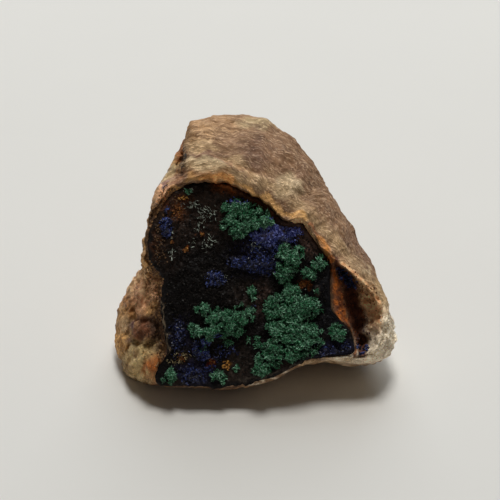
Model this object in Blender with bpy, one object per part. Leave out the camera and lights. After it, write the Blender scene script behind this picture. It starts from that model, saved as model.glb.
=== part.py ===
"""Azurite specimen: a broken lump of host rock. Its front face is a shallow bed under a
projecting lip, and carries a dark druse, malachite rosettes and azurite crystals.

Metres, +Z up. The shapes are drawn in the face's own coordinates, in millimetres: u runs to
the right, v up the mineral face and w out of it. to_world() stands that face up at its tilt
over the flat facet that the lump rests on, which lies at z = 0."""

import math

import bmesh
import bpy
import numpy as np
from mathutils.geometry import delaunay_2d_cdt

MM = 0.001
TAU = 2.0 * math.pi

# Driving dimensions, in millimetres and radians
FACE_TILT = math.radians(38.0)  # how far the face's normal rises above the horizontal
FACE_ORIGIN = (-0.92, -5.92, 24.9)  # where u = v = w = 0 stands over the base
FACE_CENTRE = (0.5, -3.0)  # the point that every closed outline runs round
HEART_DEPTH = 14.0  # how far behind the face the middle of the lump lies
CRUST_THICKNESS = 1.5
GAP = 0.36  # clearance between pieces that touch

# Mesh density of the solids
ROCK_SPOKES = 104
CRUST_SPOKES = 72
ANGLES = 720  # entries in the table that holds one closed outline
SIDE_STEPS = 12  # points along each straight side of an outline

# Closed outlines round FACE_CENTRE, as (u, v) or (u, v, w) in millimetres.
# The rim is where the lump turns away from the front, the lip is the crest round the face.
RIM = [
    (-11.2, 23.9, -8.5), (-6.9, 25.4, -10.0), (-1.3, 25.7, -11.0), (3.1, 24.6, -11.0),
    (7.5, 21.5, -11.0), (11.9, 16.5, -11.0), (15.1, 10.1, -11.0), (18.7, 4.5, -11.0),
    (22.2, -1.9, -10.0), (25.8, -8.3, -9.0), (27.3, -15.0, -8.0), (26.8, -17.3, -7.0),
    (25.2, -19.6, -5.5), (22.7, -20.8, -4.4), (18.3, -21.2, -3.2), (13.6, -21.1, -2.4),
    (10.1, -21.6, -2.0), (7.3, -22.8, -1.9), (4.2, -24.1, -1.8), (-0.5, -24.9, -1.8),
    (-4.4, -25.5, -1.8), (-9.1, -25.5, -2.0), (-15.4, -25.3, -2.6), (-19.4, -24.8, -4.0),
    (-22.6, -23.6, -6.0), (-24.2, -21.6, -9.0), (-25.6, -19.2, -12.5), (-25.3, -15.5, -14.0),
    (-24.6, -11.6, -14.0), (-22.6, -6.7, -12.5), (-20.7, -3.1, -9.0), (-20.1, 2.1, -7.0),
    (-19.1, 6.0, -6.0), (-18.3, 10.4, -6.0), (-15.6, 14.8, -6.0), (-13.6, 18.8, -6.0),
    (-12.0, 21.6, -6.5),
]
LIP = [
    (-12.8, 12.6, -0.4), (-11.1, 13.5, 0.6), (-9.2, 13.8, 1.0), (-6.5, 14.0, 1.2),
    (-3.6, 13.7, 1.4), (-2.0, 12.7, 1.5), (0.3, 11.3, 1.5), (2.6, 9.7, 1.5),
    (4.6, 8.0, 1.5), (5.9, 6.3, 1.2), (7.6, 5.9, 1.2), (9.9, 6.1, 1.0), (11.1, 4.4, 0.8),
    (12.1, 2.6, 0.8), (13.7, 0.7, 0.8), (15.3, -1.1, 0.5), (17.0, -2.3, 0.3),
    (19.0, -3.9, 0.0), (21.0, -5.7, -0.4), (22.5, -7.5, -0.7), (24.0, -9.7, -1.1),
    (24.3, -12.1, -1.1), (23.9, -14.8, -1.0), (23.6, -17.6, -1.0), (21.9, -19.4, -1.0),
    (19.0, -20.1, -1.0), (15.1, -20.6, -1.0), (11.2, -21.0, -1.0), (7.3, -22.4, -1.2),
    (4.2, -23.7, -1.2), (-0.5, -24.6, -1.2), (-4.4, -25.2, -1.2), (-9.1, -25.2, -1.5),
    (-15.4, -25.0, -2.0), (-17.2, -24.3, -2.0), (-17.3, -22.2, -1.9), (-16.4, -20.1, -1.7),
    (-15.7, -18.6, -1.6), (-16.2, -16.4, -1.6), (-16.8, -13.0, -1.6), (-17.2, -10.2, -1.6),
    (-17.0, -7.4, -1.6), (-16.9, -5.4, -1.5), (-17.8, -4.1, -1.4), (-19.2, -2.3, -1.2),
    (-19.6, 0.8, -1.2), (-19.3, 3.5, -1.2), (-18.5, 5.8, -1.0), (-17.5, 7.8, -0.8),
    (-16.2, 9.6, -0.8), (-14.5, 11.3, -0.6),
]
CRUST = [
    (-12.8, 11.4), (-11.0, 12.3), (-8.3, 12.5), (-6.7, 12.2), (-4.1, 11.3), (-2.2, 10.4),
    (0.0, 9.4), (2.2, 8.0), (4.0, 6.5), (5.4, 4.9), (7.4, 4.4), (9.5, 4.6), (10.6, 2.8),
    (12.2, 0.6), (14.0, -1.7), (14.5, -2.9), (14.5, -5.8), (14.6, -8.9), (14.8, -11.0),
    (16.5, -13.2), (17.7, -13.8), (18.3, -14.7), (18.9, -16.3), (19.2, -18.6), (18.5, -19.2),
    (13.0, -19.9), (10.0, -20.4), (7.3, -21.7), (4.2, -23.0), (-0.5, -23.9), (-4.4, -24.5),
    (-9.1, -24.5), (-15.4, -24.3), (-16.4, -23.3), (-16.6, -21.9), (-15.6, -20.2),
    (-14.8, -18.7), (-15.3, -16.4), (-15.8, -13.1), (-16.2, -10.2), (-15.8, -7.6),
    (-15.5, -5.4), (-16.4, -4.0), (-18.0, -2.2), (-18.5, 0.9), (-18.2, 3.2), (-17.4, 5.2),
    (-16.4, 7.1), (-15.2, 8.9), (-13.9, 10.4),
]

# The hollow beside the crust, as (v, u) lines from its foot up to its head: the rusty plate
# falls from the first line to the second, the hollow lies between the second and the third,
# and its outer wall climbs to the fourth.
PLATE_START = [
    (-19.2, 19.4), (-16.3, 19.2), (-13.7, 18.2), (-12.9, 16.8), (-10.9, 15.1), (-5.7, 14.8),
    (-2.8, 14.8), (-1.2, 14.3),
]
PLATE_END = [
    (-18.3, 19.8), (-15.5, 19.1), (-12.9, 18.1), (-11.3, 17.7), (-8.9, 17.2), (-6.6, 17.2),
    (-4.1, 15.9), (-2.6, 15.4),
]
HOLLOW_END = [
    (-18.6, 21.0), (-17.0, 21.6), (-15.6, 21.0), (-12.2, 21.3), (-10.7, 20.7), (-6.8, 20.9),
    (-5.0, 19.4), (-3.7, 17.9), (-2.6, 16.4),
]
WALL_TOP = [
    (-19.3, 21.9), (-17.6, 23.6), (-12.1, 24.3), (-9.7, 24.0), (-7.5, 22.5), (-5.7, 21.0),
    (-4.0, 19.0), (-2.3, 17.0), (-1.1, 15.3),
]
PLATE_TOP_DEPTH = -0.4
PLATE_FALL = 2.1
HOLLOW_FALL = 3.4
HOLLOW_RISE = 1.6
WALL_RISE = 3.4

# Chips that bound the unseen back, as a normal in world axes and its distance from the heart
CHIPS = [
    ((0.0, 0.0, -1.0), 16.4), ((0.05, 0.98, 0.12), 16.6), ((-0.86, 0.51, 0.02), 16.4),
    ((0.80, 0.58, 0.10), 17.0), ((0.25, 0.75, -0.62), 17.5), ((-0.72, 0.10, -0.69), 19.5),
    ((0.72, 0.05, -0.69), 19.0), ((-0.25, 0.62, 0.74), 25.0), ((0.35, 0.55, 0.75), 24.5),
    ((-0.35, 0.85, -0.25), 17.4), ((0.0, -0.80, -0.60), 14.5), ((0.97, -0.20, -0.10), 24.5),
]
CHIP_SHARPNESS = 34.0
RIM_FADE = 0.38  # share of the way to the back over which the rim's own outline fades out

# Outlines of the mineral patches, as (u, v) in millimetres
MALACHITE_UPPER = [
    (-5.0, 8.3), (-2.8, 9.2), (-0.5, 9.0), (1.9, 8.0), (3.6, 6.6), (4.6, 5.2), (3.4, 4.5),
    (1.1, 4.1), (-0.5, 3.2), (-1.3, 1.9), (-2.4, 1.7), (-3.2, 2.8), (-4.8, 3.4), (-5.4, 4.8),
    (-4.4, 5.9), (-5.2, 7.1),
]
MALACHITE_MAIN = [
    (7.3, 1.5), (9.5, 0.5), (9.8, -1.1), (8.7, -3.4), (7.6, -5.7), (9.4, -7.0), (9.8, -8.5),
    (12.2, -9.0), (13.6, -10.9), (12.0, -12.2), (10.6, -13.0), (11.6, -13.8), (13.4, -15.0),
    (13.6, -17.4), (12.2, -18.1), (12.0, -19.3), (9.6, -20.1), (7.8, -20.4), (6.4, -20.5),
    (5.0, -21.3), (4.4, -22.5), (2.3, -23.2), (0.7, -23.1), (0.1, -22.0), (0.7, -20.5),
    (1.5, -19.2), (1.5, -17.9), (2.9, -16.7), (3.0, -15.5), (2.4, -14.4), (3.4, -12.8),
    (2.5, -11.2), (2.8, -9.7), (5.1, -8.0), (5.6, -6.1), (4.7, -4.6), (4.8, -1.5), (5.4, 0.5),
]
MALACHITE_LEFT = [
    (-12.2, -14.3), (-10.2, -13.9), (-8.3, -13.4), (-6.6, -11.4), (-5.8, -10.5), (-3.6, -11.1),
    (-2.6, -10.2), (-0.6, -10.0), (0.6, -11.3), (1.2, -12.4), (-0.5, -14.5), (-1.1, -15.4),
    (-2.4, -16.5), (-3.7, -15.7), (-5.9, -16.4), (-8.3, -17.3), (-9.4, -16.6), (-10.8, -15.8),
]
MALACHITE_RIGHT_CORNER = [
    (14.6, -14.6), (16.0, -13.7), (17.2, -14.2), (17.8, -15.2), (17.2, -16.5), (16.1, -17.4),
    (15.2, -16.5),
]
AZURITE_UPPER_BAND = [
    (0.1, 2.7), (1.4, 3.3), (2.9, 3.7), (5.2, 4.2), (7.3, 3.9), (9.0, 3.9), (8.9, 3.0),
    (6.8, 2.3), (5.0, 1.6), (3.4, 1.0), (1.2, 1.6),
]
AZURITE_CENTRE = [
    (-4.4, -2.2), (-3.0, -1.1), (-0.9, -1.3), (1.5, -1.1), (3.6, -1.6), (4.0, -3.2),
    (2.2, -4.4), (0.0, -3.9), (-1.3, -2.9), (-3.1, -3.1),
]
AZURITE_LOWER_LEFT = [
    (-13.7, -13.2), (-12.8, -13.2), (-12.8, -14.6), (-12.0, -15.7), (-11.6, -16.7),
    (-13.2, -16.7), (-13.8, -15.0),
]
AZURITE_UNDER_LEFT = [
    (-10.3, -16.9), (-9.5, -17.6), (-8.6, -18.2), (-7.6, -18.1), (-7.5, -19.4), (-8.4, -20.6),
    (-9.6, -19.9), (-10.5, -18.4),
]
AZURITE_LOWER_EDGE = [
    (-12.9, -21.5), (-10.7, -21.1), (-8.5, -22.2), (-8.3, -23.7), (-12.0, -23.8),
]
AZURITE_LOWER_RIGHT = [
    (12.8, -19.1), (13.9, -18.4), (15.3, -18.2), (16.5, -18.2), (17.6, -17.6), (18.3, -16.9),
    (18.5, -18.2), (15.7, -18.9), (13.2, -19.4),
]
AZURITE_HOLLOW_HEAD = [
    (15.8, -3.4), (17.0, -3.3), (18.8, -4.7), (20.4, -6.4), (19.6, -7.2), (18.0, -6.3),
    (16.4, -4.7),
]


def smooth(x):
    """Ease from 0 to 1 as x goes from 0 to 1, and hold outside that."""
    x = np.clip(x, 0.0, 1.0)
    return x * x * (3.0 - 2.0 * x)


def mix(a, b, share):
    return a + (b - a) * share


def to_world(u, v, w):
    """Face coordinates, in millimetres, to points over the base."""
    rise, reach = math.cos(FACE_TILT), math.sin(FACE_TILT)
    x0, y0, z0 = FACE_ORIGIN
    return np.stack([x0 + u, y0 + v * reach - w * rise, z0 + v * rise + w * reach], axis=-1)


def waves(points, length, count, seed):
    """Rock relief from about -1 to 1: the mean of plane waves of random heading and phase."""
    rng = np.random.default_rng(seed)
    heading = rng.normal(size=(count, 3))
    heading /= np.linalg.norm(heading, axis=1, keepdims=True)
    heading *= TAU / (length * rng.uniform(0.7, 1.5, (count, 1)))
    phase = rng.uniform(0.0, TAU, count)
    return np.sin(points @ heading.T + phase).sum(axis=-1) / math.sqrt(count)


def facets(points, length, count, seed):
    """Like waves, with straight-sided waves, so that the relief is made of flat chips and creases."""
    rng = np.random.default_rng(seed)
    heading = rng.normal(size=(count, 3))
    heading /= np.linalg.norm(heading, axis=1, keepdims=True)
    heading *= TAU / (length * rng.uniform(0.7, 1.5, (count, 1)))
    phase = rng.uniform(0.0, TAU, count)
    straight = np.arcsin(np.sin(points @ heading.T + phase)) * 2.0 / math.pi
    return straight.sum(axis=-1) / math.sqrt(count)


class Outline:
    """A closed curve round FACE_CENTRE with straight sides: its radius and its w by angle.

    Corners are softened over a few degrees, and w more widely, so that it makes no pleats."""

    def __init__(self, points, soften, soften_depth=5.0):
        corners = np.array([tuple(point) + (0.0,) * (3 - len(point)) for point in points])
        steps = np.arange(SIDE_STEPS)[:, None, None] / SIDE_STEPS
        points = mix(corners, np.roll(corners, -1, axis=0), steps).reshape(-1, 3)
        du, dv = points[:, 0] - FACE_CENTRE[0], points[:, 1] - FACE_CENTRE[1]
        angle = np.mod(np.arctan2(dv, du), TAU)
        self.angles = np.arange(ANGLES) * TAU / ANGLES
        radii = np.interp(self.angles, angle, np.hypot(du, dv), period=TAU)
        depths = np.interp(self.angles, angle, points[:, 2], period=TAU)
        self.radii = self.softened(radii, soften)
        self.depths = self.softened(depths, soften_depth)

    @staticmethod
    def softened(values, degrees):
        steps = int(degrees * ANGLES / 360.0)
        return np.mean([np.roll(values, shift) for shift in range(-steps, steps + 1)], axis=0)

    def radius(self, angle):
        return np.interp(angle, self.angles, self.radii, period=TAU)

    def depth(self, angle):
        return np.interp(angle, self.angles, self.depths, period=TAU)


RIM_LINE = Outline(RIM, soften=1.0)
LIP_LINE = Outline(LIP, soften=1.0)
CRUST_LINE = Outline(CRUST, soften=0.5)
LEAST_STEP = 0.28  # the rim stays at least this far outside the lip, and the lip outside the bed


def bed_radius(angle):
    return CRUST_LINE.radius(angle) + GAP


def lip_radius(angle):
    return np.maximum(LIP_LINE.radius(angle), bed_radius(angle) + LEAST_STEP)


def rim_radius(angle):
    return np.maximum(RIM_LINE.radius(angle), lip_radius(angle) + LEAST_STEP)


def swell(u, v):
    """The slow rise and fall of the mineral face."""
    return 0.40 * np.sin(u / 6.1 + 0.6) * np.sin(v / 5.3 - 0.4) + 0.16 * np.sin((u + v) / 3.1)


def bed(u, v):
    return swell(u, v) - CRUST_THICKNESS - GAP


def crust_top(u, v):
    lumps = waves(np.stack([u, v, np.zeros_like(u)], axis=-1), 7.0, 9, seed=21)
    return swell(u, v) + 0.13 * lumps


def line_at(line, v):
    along, across = np.array(line).T
    return np.interp(v, along, across)


def hollow(u, v):
    """The plate's fall, the hollow and its outer wall, as w."""
    start, end = line_at(PLATE_START, v), line_at(PLATE_END, v)
    far, top = line_at(HOLLOW_END, v), line_at(WALL_TOP, v)
    least = 0.15
    plate = np.clip((u - start) / np.maximum(end - start, least), 0.0, 1.0)
    width = np.maximum(far - end, least)
    drop = smooth((u - end) / (0.45 * width))
    rise = smooth((u - end - 0.6 * width) / (0.4 * width))
    wall = np.clip((u - far) / np.maximum(top - far, least), 0.0, 1.0)
    depth = -PLATE_FALL * plate - HOLLOW_FALL * drop + HOLLOW_RISE * rise + WALL_RISE * wall
    open_share = smooth((v + 19.6) / 2.4) * smooth((-1.6 - v) / 2.8)
    return PLATE_TOP_DEPTH + depth * open_share


def in_hollow(u, v):
    """1 where the face's edge is the hollow and 0 where it is the lip's plain wall."""
    return smooth((u - 13.4) / 0.8) * smooth((v + 20.4) / 0.8) * smooth((-0.7 - v) / 0.8)


def inner_front(u, v):
    """w of the rock inside the lip: the bed, the lip's wall and the hollow."""
    du, dv = u - FACE_CENTRE[0], v - FACE_CENTRE[1]
    angle, radius = np.arctan2(dv, du), np.hypot(du, dv)
    foot, crest = bed_radius(angle), lip_radius(angle)
    climb = (radius - foot) / (crest - foot)
    wall = mix(bed(u, v), LIP_LINE.depth(angle), smooth(climb))
    ledge = mix(bed(u, v), hollow(u, v), smooth((radius - foot) / 0.35))
    return mix(wall, ledge, in_hollow(u, v) * (climb > 0.0) * smooth((1.0 - climb) / 0.08 + 0.35))


def dome(u, v, centre, radius, height):
    """A round lump, or with a negative height a pit."""
    return height * np.exp(-((u - centre[0]) ** 2 + (v - centre[1]) ** 2) / radius**2)


def hollow_lining(u, v):
    """Where a lining starts over the steep hollow, whose coarse facets stray from its formula."""
    return inner_front(u, v) + GAP


LEDGE = [(-12.5, 18.2), (-5.0, 17.6), (1.0, 16.2), (6.0, 13.0), (10.0, 9.0), (14.0, 4.5)]


def front_features(u, v):
    """What stands out from or is bitten into the rock round the face, as a change of w."""
    ledge_u, ledge_v = np.array(LEDGE).T
    bench = 0.55 * smooth((np.interp(u, ledge_u, ledge_v) - v) / 0.9 + 0.5) * smooth((v - 4.0) / 4.0)
    flank = -1.0 * np.maximum(0.0, -11.3 - u) * smooth((v - 11.5) / 2.5)
    return (
        bench
        + flank
        + dome(u, v, (-12.5, 15.9), 0.9, -1.3)
        + dome(u, v, (-6.6, 24.7), 0.8, 0.6)
        + dome(u, v, (-3.7, 24.6), 0.9, 0.6)
        + dome(u, v, (-20.9, -20.8), 2.4, 1.5)
        + dome(u, v, (-19.9, -14.6), 1.4, 1.1)
        + dome(u, v, (-19.0, -9.6), 1.6, 0.6)
        + dome(u, v, (-22.6, -17.4), 1.5, -0.9)
        + dome(u, v, (24.6, -17.4), 1.5, 0.7)
        + dome(u, v, (25.4, -12.2), 1.4, 0.5)
        + dome(u, v, (16.9, 1.2), 1.5, 0.5)
        + dome(u, v, (10.2, 12.4), 2.2, 0.5)
    )


def chip_reach(direction):
    """How far the chipped back lies from the heart in a direction given in face coordinates."""
    rise, reach = math.cos(FACE_TILT), math.sin(FACE_TILT)
    total = np.zeros(direction.shape[:-1])
    for (x, y, z), distance in CHIPS:
        normal = np.array([x, y * reach + z * rise, -y * rise + z * reach])
        normal /= np.linalg.norm(normal)
        total += (np.maximum(direction @ normal, 0.0) / distance) ** CHIP_SHARPNESS
    return total ** (-1.0 / CHIP_SHARPNESS)


def rock_front(angle, ring):
    """Points of the front: ring runs 0 to 1 over the bed, to 2 at the lip and to 3 at the rim."""
    foot, crest, rim = bed_radius(angle), lip_radius(angle), rim_radius(angle)
    turn = np.clip(ring - 2.0, 0.0, 1.0)
    outward = mix(turn, np.sin(turn * math.pi / 2.0), 0.5)
    downward = mix(turn, 1.0 - np.cos(turn * math.pi / 2.0), 0.5)
    radius = foot * np.clip(ring, 0.0, 1.0)
    radius = radius + (crest - foot) * np.clip(ring - 1.0, 0.0, 1.0) + (rim - crest) * outward
    u = FACE_CENTRE[0] + radius * np.cos(angle)
    v = FACE_CENTRE[1] + radius * np.sin(angle)
    shoulder = mix(LIP_LINE.depth(angle), RIM_LINE.depth(angle), downward)
    shoulder = shoulder + front_features(u, v) * smooth(turn / 0.12)
    return u, v, np.where(ring > 2.0, shoulder, inner_front(u, v))


def rock_back(angle, share):
    """Points of the back: share runs from 0 at the rim to 1 at the pole behind the heart."""
    u, v, w = rock_front(angle, np.full_like(angle, 3.0))
    rim_radius_here = np.hypot(u - FACE_CENTRE[0], v - FACE_CENTRE[1])
    rim_polar = np.arctan2(rim_radius_here, w + HEART_DEPTH)
    rim_reach = np.hypot(rim_radius_here, w + HEART_DEPTH)

    def heading(polar):
        return np.stack(
            [np.sin(polar) * np.cos(angle), np.sin(polar) * np.sin(angle), np.cos(polar)], axis=-1
        )

    polar = mix(rim_polar, math.pi, share)
    excess = rim_reach - chip_reach(heading(rim_polar))
    reach = chip_reach(heading(polar)) + excess * (1.0 - smooth(share / RIM_FADE))
    points = heading(polar) * reach[..., None]
    return FACE_CENTRE[0] + points[..., 0], FACE_CENTRE[1] + points[..., 1], points[..., 2] - HEART_DEPTH


def grid_normals(points):
    """Outward normals of a grid whose rows are rings and whose columns go round."""
    around = np.roll(points, -1, axis=1) - np.roll(points, 1, axis=1)
    outward = np.gradient(points, axis=0)
    normals = np.cross(outward, around)
    return normals / np.maximum(np.linalg.norm(normals, axis=2, keepdims=True), 1e-9)


def rock_rings():
    """Ring values over the front, then shares over the back, that put edges where the shape turns."""
    front = [0.03, 0.5, 0.85, 1.0, 1.12, 1.3, 1.5, 1.7, 1.86, 2.0, 2.12, 2.28, 2.44, 2.6, 2.76, 2.9, 3.0]
    back = [0.05, 0.11, 0.18, 0.26, 0.35, 0.45, 0.56, 0.68, 0.8, 0.92]
    return np.array(front), np.array(back)


def rock_points():
    angle = np.arange(ROCK_SPOKES) * TAU / ROCK_SPOKES
    front, back = rock_rings()
    front_angle, ring = np.meshgrid(angle, front)
    back_angle, share = np.meshgrid(angle, back)
    points = np.concatenate(
        [np.stack(rock_front(front_angle, ring), -1), np.stack(rock_back(back_angle, share), -1)]
    )
    ring = np.concatenate([front, 3.0 + back])[:, None]
    chips = facets(points, 17.0, 7, seed=3) * mix(0.15, 1.0, smooth((ring - 3.05) / 0.25))
    knocks = facets(points, 6.5, 9, seed=4) * mix(0.22, 0.45, smooth((ring - 3.0) / 0.3))
    relief = (chips + knocks) * smooth((ring - 1.9) / 0.4)
    return points + grid_normals(points) * relief[..., None]


def bridged(rings, first_pole, last_pole):
    """Faces over rings of equal length, closed by a fan at each pole. The first pole comes first."""
    count, spokes = rings
    index = 1 + np.arange(count * spokes).reshape(count, spokes)
    after = np.roll(index, -1, axis=1)
    faces = [(first_pole, a, b) for a, b in zip(index[0], after[0])]
    for row in range(count - 1):
        faces += list(zip(index[row], index[row + 1], after[row + 1], after[row]))
    return faces + [(last_pole, b, a) for a, b in zip(index[-1], after[-1])]


def finish(name, vertices_mm, faces, finish_name, smooth_angle=None, cut_base=False):
    """A closed mesh object from world points in millimetres, with outward faces."""
    mesh = bpy.data.meshes.new(name)
    mesh.from_pydata((np.asarray(vertices_mm) * MM).tolist(), [], [tuple(map(int, f)) for f in faces])
    shape = bmesh.new()
    shape.from_mesh(mesh)
    if cut_base:
        geometry = shape.verts[:] + shape.edges[:] + shape.faces[:]
        cut = bmesh.ops.bisect_plane(
            shape, geom=geometry, dist=1e-7, plane_co=(0, 0, 0), plane_no=(0, 0, -1), clear_outer=True
        )
        rim = [item for item in cut["geom_cut"] if isinstance(item, bmesh.types.BMEdge)]
        bmesh.ops.contextual_create(shape, geom=rim)
    bmesh.ops.recalc_face_normals(shape, faces=shape.faces[:])
    bmesh.ops.triangulate(shape, faces=shape.faces[:])
    shape.to_mesh(mesh)
    shape.free()
    if smooth_angle is not None:
        mesh.shade_smooth()
        mesh.set_sharp_from_angle(angle=math.radians(smooth_angle))
    mesh.materials.append(FINISHES[finish_name])
    item = bpy.data.objects.new(name, mesh)
    bpy.context.scene.collection.objects.link(item)
    return item


def make_host_rock():
    points = rock_points()
    front_pole = np.array([FACE_CENTRE[0], FACE_CENTRE[1], bed(*np.array(FACE_CENTRE))])
    back_reach = float(chip_reach(np.array([0.0, 0.0, -1.0])))
    back_pole = np.array([FACE_CENTRE[0], FACE_CENTRE[1], -HEART_DEPTH - back_reach])
    every = np.concatenate([front_pole[None], points.reshape(-1, 3), back_pole[None]])
    faces = bridged(points.shape[:2], 0, len(every) - 1)
    world = to_world(*every.T)
    return finish("host_rock", world, faces, "host_rock", smooth_angle=22, cut_base=True)


def make_dark_crust():
    """The druse on the bed: a thin slab with a lumpy top and a chipped, slightly rounded edge."""
    angle = np.arange(CRUST_SPOKES) * TAU / CRUST_SPOKES
    edge = CRUST_LINE.radius(angle)
    top_shares = np.array([0.06, 0.2, 0.36, 0.52, 0.68, 0.83, 0.955, 1.0])
    under_shares = np.array([0.985, 0.7, 0.35])
    shares = np.concatenate([top_shares, under_shares])
    radius = shares[:, None] * edge
    u = FACE_CENTRE[0] + radius * np.cos(angle)
    v = FACE_CENTRE[1] + radius * np.sin(angle)
    top = crust_top(u, v) - 0.35 * smooth((shares[:, None] - 0.955) / 0.045)
    is_top = (np.arange(len(shares)) < len(top_shares))[:, None]
    w = np.where(is_top, top, bed(u, v) + GAP)
    centre = np.array(FACE_CENTRE)
    poles = [crust_top(*centre), bed(*centre) + GAP]
    every = np.concatenate([
        [[*centre, float(poles[0])]], np.stack([u, v, w], -1).reshape(-1, 3), [[*centre, float(poles[1])]]
    ])
    faces = bridged(u.shape, 0, len(every) - 1)
    return finish("dark_crust", to_world(*every.T), faces, "dark_crust", smooth_angle=30)


def resampled(outline, spacing):
    """The closed outline with its sides cut into equal lengths of at most the spacing."""
    corners = np.array(outline)
    points = []
    for start, end in zip(corners, np.roll(corners, -1, axis=0)):
        pieces = max(1, math.ceil(np.linalg.norm(end - start) / spacing))
        points += [mix(start, end, step / pieces) for step in range(pieces)]
    return np.array(points)


def edge_distance(points, outline):
    """Distance from each point to the closed outline, positive inside and negative outside."""
    starts, ends = outline, np.roll(outline, -1, axis=0)
    sides = ends - starts
    offset = points[:, None] - starts[None]
    along = np.clip((offset * sides).sum(-1) / (sides**2).sum(-1), 0.0, 1.0)
    nearest = np.linalg.norm(offset - along[..., None] * sides, axis=-1).min(axis=1)
    spans = (starts[:, 1] > points[:, None, 1]) != (ends[:, 1] > points[:, None, 1])
    rise = np.where(sides[:, 1] == 0.0, 1.0, sides[:, 1])
    crossing = starts[:, 0] + offset[..., 1] * sides[:, 0] / rise
    inside = (spans & (points[:, None, 0] < crossing)).sum(axis=1) % 2 == 1
    return np.where(inside, nearest, -nearest)


def lattice(outline, spacing, seed):
    """Points of a triangular lattice inside the outline, and which of them are the lumps' tops.

    Every third point is a top, so that each top has six lower neighbours round it."""
    low, high = outline.min(axis=0), outline.max(axis=0)
    row_height = spacing * math.sqrt(3.0) / 2.0
    rows = np.arange(math.ceil((high[1] - low[1]) / row_height) + 1)
    columns = np.arange(-len(rows), math.ceil((high[0] - low[0]) / spacing) + 1)
    column, row = np.meshgrid(columns, rows)
    points = np.stack([low[0] + spacing * (column + row / 2.0), low[1] + row_height * row], -1)
    is_top = (column - row) % 3 == 0
    points = points.reshape(-1, 2)
    rng = np.random.default_rng(seed)
    points = points + rng.uniform(-0.16, 0.16, points.shape) * spacing
    keep = edge_distance(points, outline) > 0.42 * spacing
    return points[keep], is_top.reshape(-1)[keep]


def make_patch(name, outline, finish_name, under, spacing, edge, crown, relief, seed, smooth_angle=None):
    """A closed patch on what carries it: an edge of even height, a crowned middle and lumps on it."""
    border = resampled(outline, spacing * 1.15)
    inner, is_top = lattice(border, spacing, seed)
    flat = np.concatenate([border, inner])
    loop = [list(range(len(border)))]
    made = delaunay_2d_cdt([tuple(point) for point in flat.tolist()], [], loop, 1, 1e-5)
    flat_made, triangles, origin = np.array([tuple(p) for p in made[0]]), made[2], made[3]
    source = np.array([ids[0] for ids in origin])
    rng = np.random.default_rng(seed + 1)
    lump = np.where(is_top, relief * rng.uniform(0.7, 1.3, len(inner)), -0.25 * relief)
    rise = np.concatenate([np.zeros(len(border)), lump])[source]
    inset = np.maximum(edge_distance(flat_made, border), 0.0)
    base = under(flat_made[:, 0], flat_made[:, 1]) + GAP
    top = base + edge + crown * smooth(inset / (1.6 * spacing)) + rise * smooth(inset / (0.5 * spacing))
    count = len(flat_made)
    place = {int(ids): position for position, ids in enumerate(source)}
    ring = [place[number] for number in range(len(border))]
    vertices = np.concatenate([np.column_stack([flat_made, top]), np.column_stack([flat_made, base])])
    faces = [tuple(face) for face in triangles]
    faces += [tuple(count + corner for corner in reversed(face)) for face in triangles]
    faces += [(b, a, a + count, b + count) for a, b in zip(ring, ring[1:] + ring[:1])]
    return finish(name, to_world(*vertices.T), faces, finish_name, smooth_angle=smooth_angle)


def blob(centre, half_width, half_height, corners=12):
    """An oval outline round a centre."""
    turn = np.arange(corners) * TAU / corners
    return np.stack([centre[0] + half_width * np.cos(turn), centre[1] + half_height * np.sin(turn)], -1)


def make_malachite():
    """Rosettes of malachite: rounded lumps about 2.2 mm apart that run together in each patch."""
    patches = [
        ("malachite_upper", MALACHITE_UPPER, 0.55),
        ("malachite_main", MALACHITE_MAIN, 0.75),
        ("malachite_left", MALACHITE_LEFT, 0.65),
        ("malachite_left_bud", blob((-8.7, -11.0), 0.95, 0.7), 0.3),
        ("malachite_lower_bud", blob((0.7, -16.4), 1.05, 1.05), 0.4),
        ("malachite_right_edge", blob((12.8, -2.5), 1.3, 1.35), 0.4),
        ("malachite_rusty_bud", blob((10.8, -4.7), 1.3, 1.3), 0.4),
        ("malachite_right_corner", MALACHITE_RIGHT_CORNER, 0.5),
        ("malachite_lower_left", blob((-14.9, -22.6), 1.1, 1.3), 0.4),
        ("malachite_lower_edge", blob((-5.8, -23.1), 1.1, 0.9), 0.4),
        ("malachite_sprig", blob((0.2, -7.9), 0.6, 1.1), 0.3),
    ]
    for number, (name, outline, crown) in enumerate(patches):
        make_patch(
            name, outline, "malachite", crust_top, spacing=1.3, edge=0.35, crown=crown, relief=0.45,
            seed=100 + 7 * number, smooth_angle=50,
        )


def make_azurite():
    """Azurite crystals: flat-faced points about 1.7 mm apart, grown together in each patch."""
    patches = [
        ("azurite_left_edge", blob((-15.5, 4.3), 1.1, 1.7), crust_top),
        ("azurite_upper_band", AZURITE_UPPER_BAND, crust_top),
        ("azurite_centre", AZURITE_CENTRE, crust_top),
        ("azurite_speckled", blob((-6.5, -5.4), 1.8, 1.2), crust_top),
        ("azurite_lower_left", AZURITE_LOWER_LEFT, crust_top),
        ("azurite_under_left", AZURITE_UNDER_LEFT, crust_top),
        ("azurite_lower_edge", AZURITE_LOWER_EDGE, crust_top),
        ("azurite_lower_right", AZURITE_LOWER_RIGHT, crust_top),
        ("azurite_hollow_head", AZURITE_HOLLOW_HEAD, hollow_lining),
    ]
    for number, (name, outline, under) in enumerate(patches):
        make_patch(
            name, outline, "azurite", under, spacing=1.0, edge=0.3, crown=0.1, relief=0.5,
            seed=300 + 7 * number,
        )


def make_finish(name, colour, roughness, metallic=0.0):
    material = bpy.data.materials.new(name)
    material.use_nodes = True
    shader = material.node_tree.nodes["Principled BSDF"]
    shader.inputs["Base Color"].default_value = (*colour, 1.0)
    shader.inputs["Roughness"].default_value = roughness
    shader.inputs["Metallic"].default_value = metallic
    material.diffuse_color = (*colour, 1.0)
    return material


for old in list(bpy.data.objects):
    bpy.data.objects.remove(old)

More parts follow.
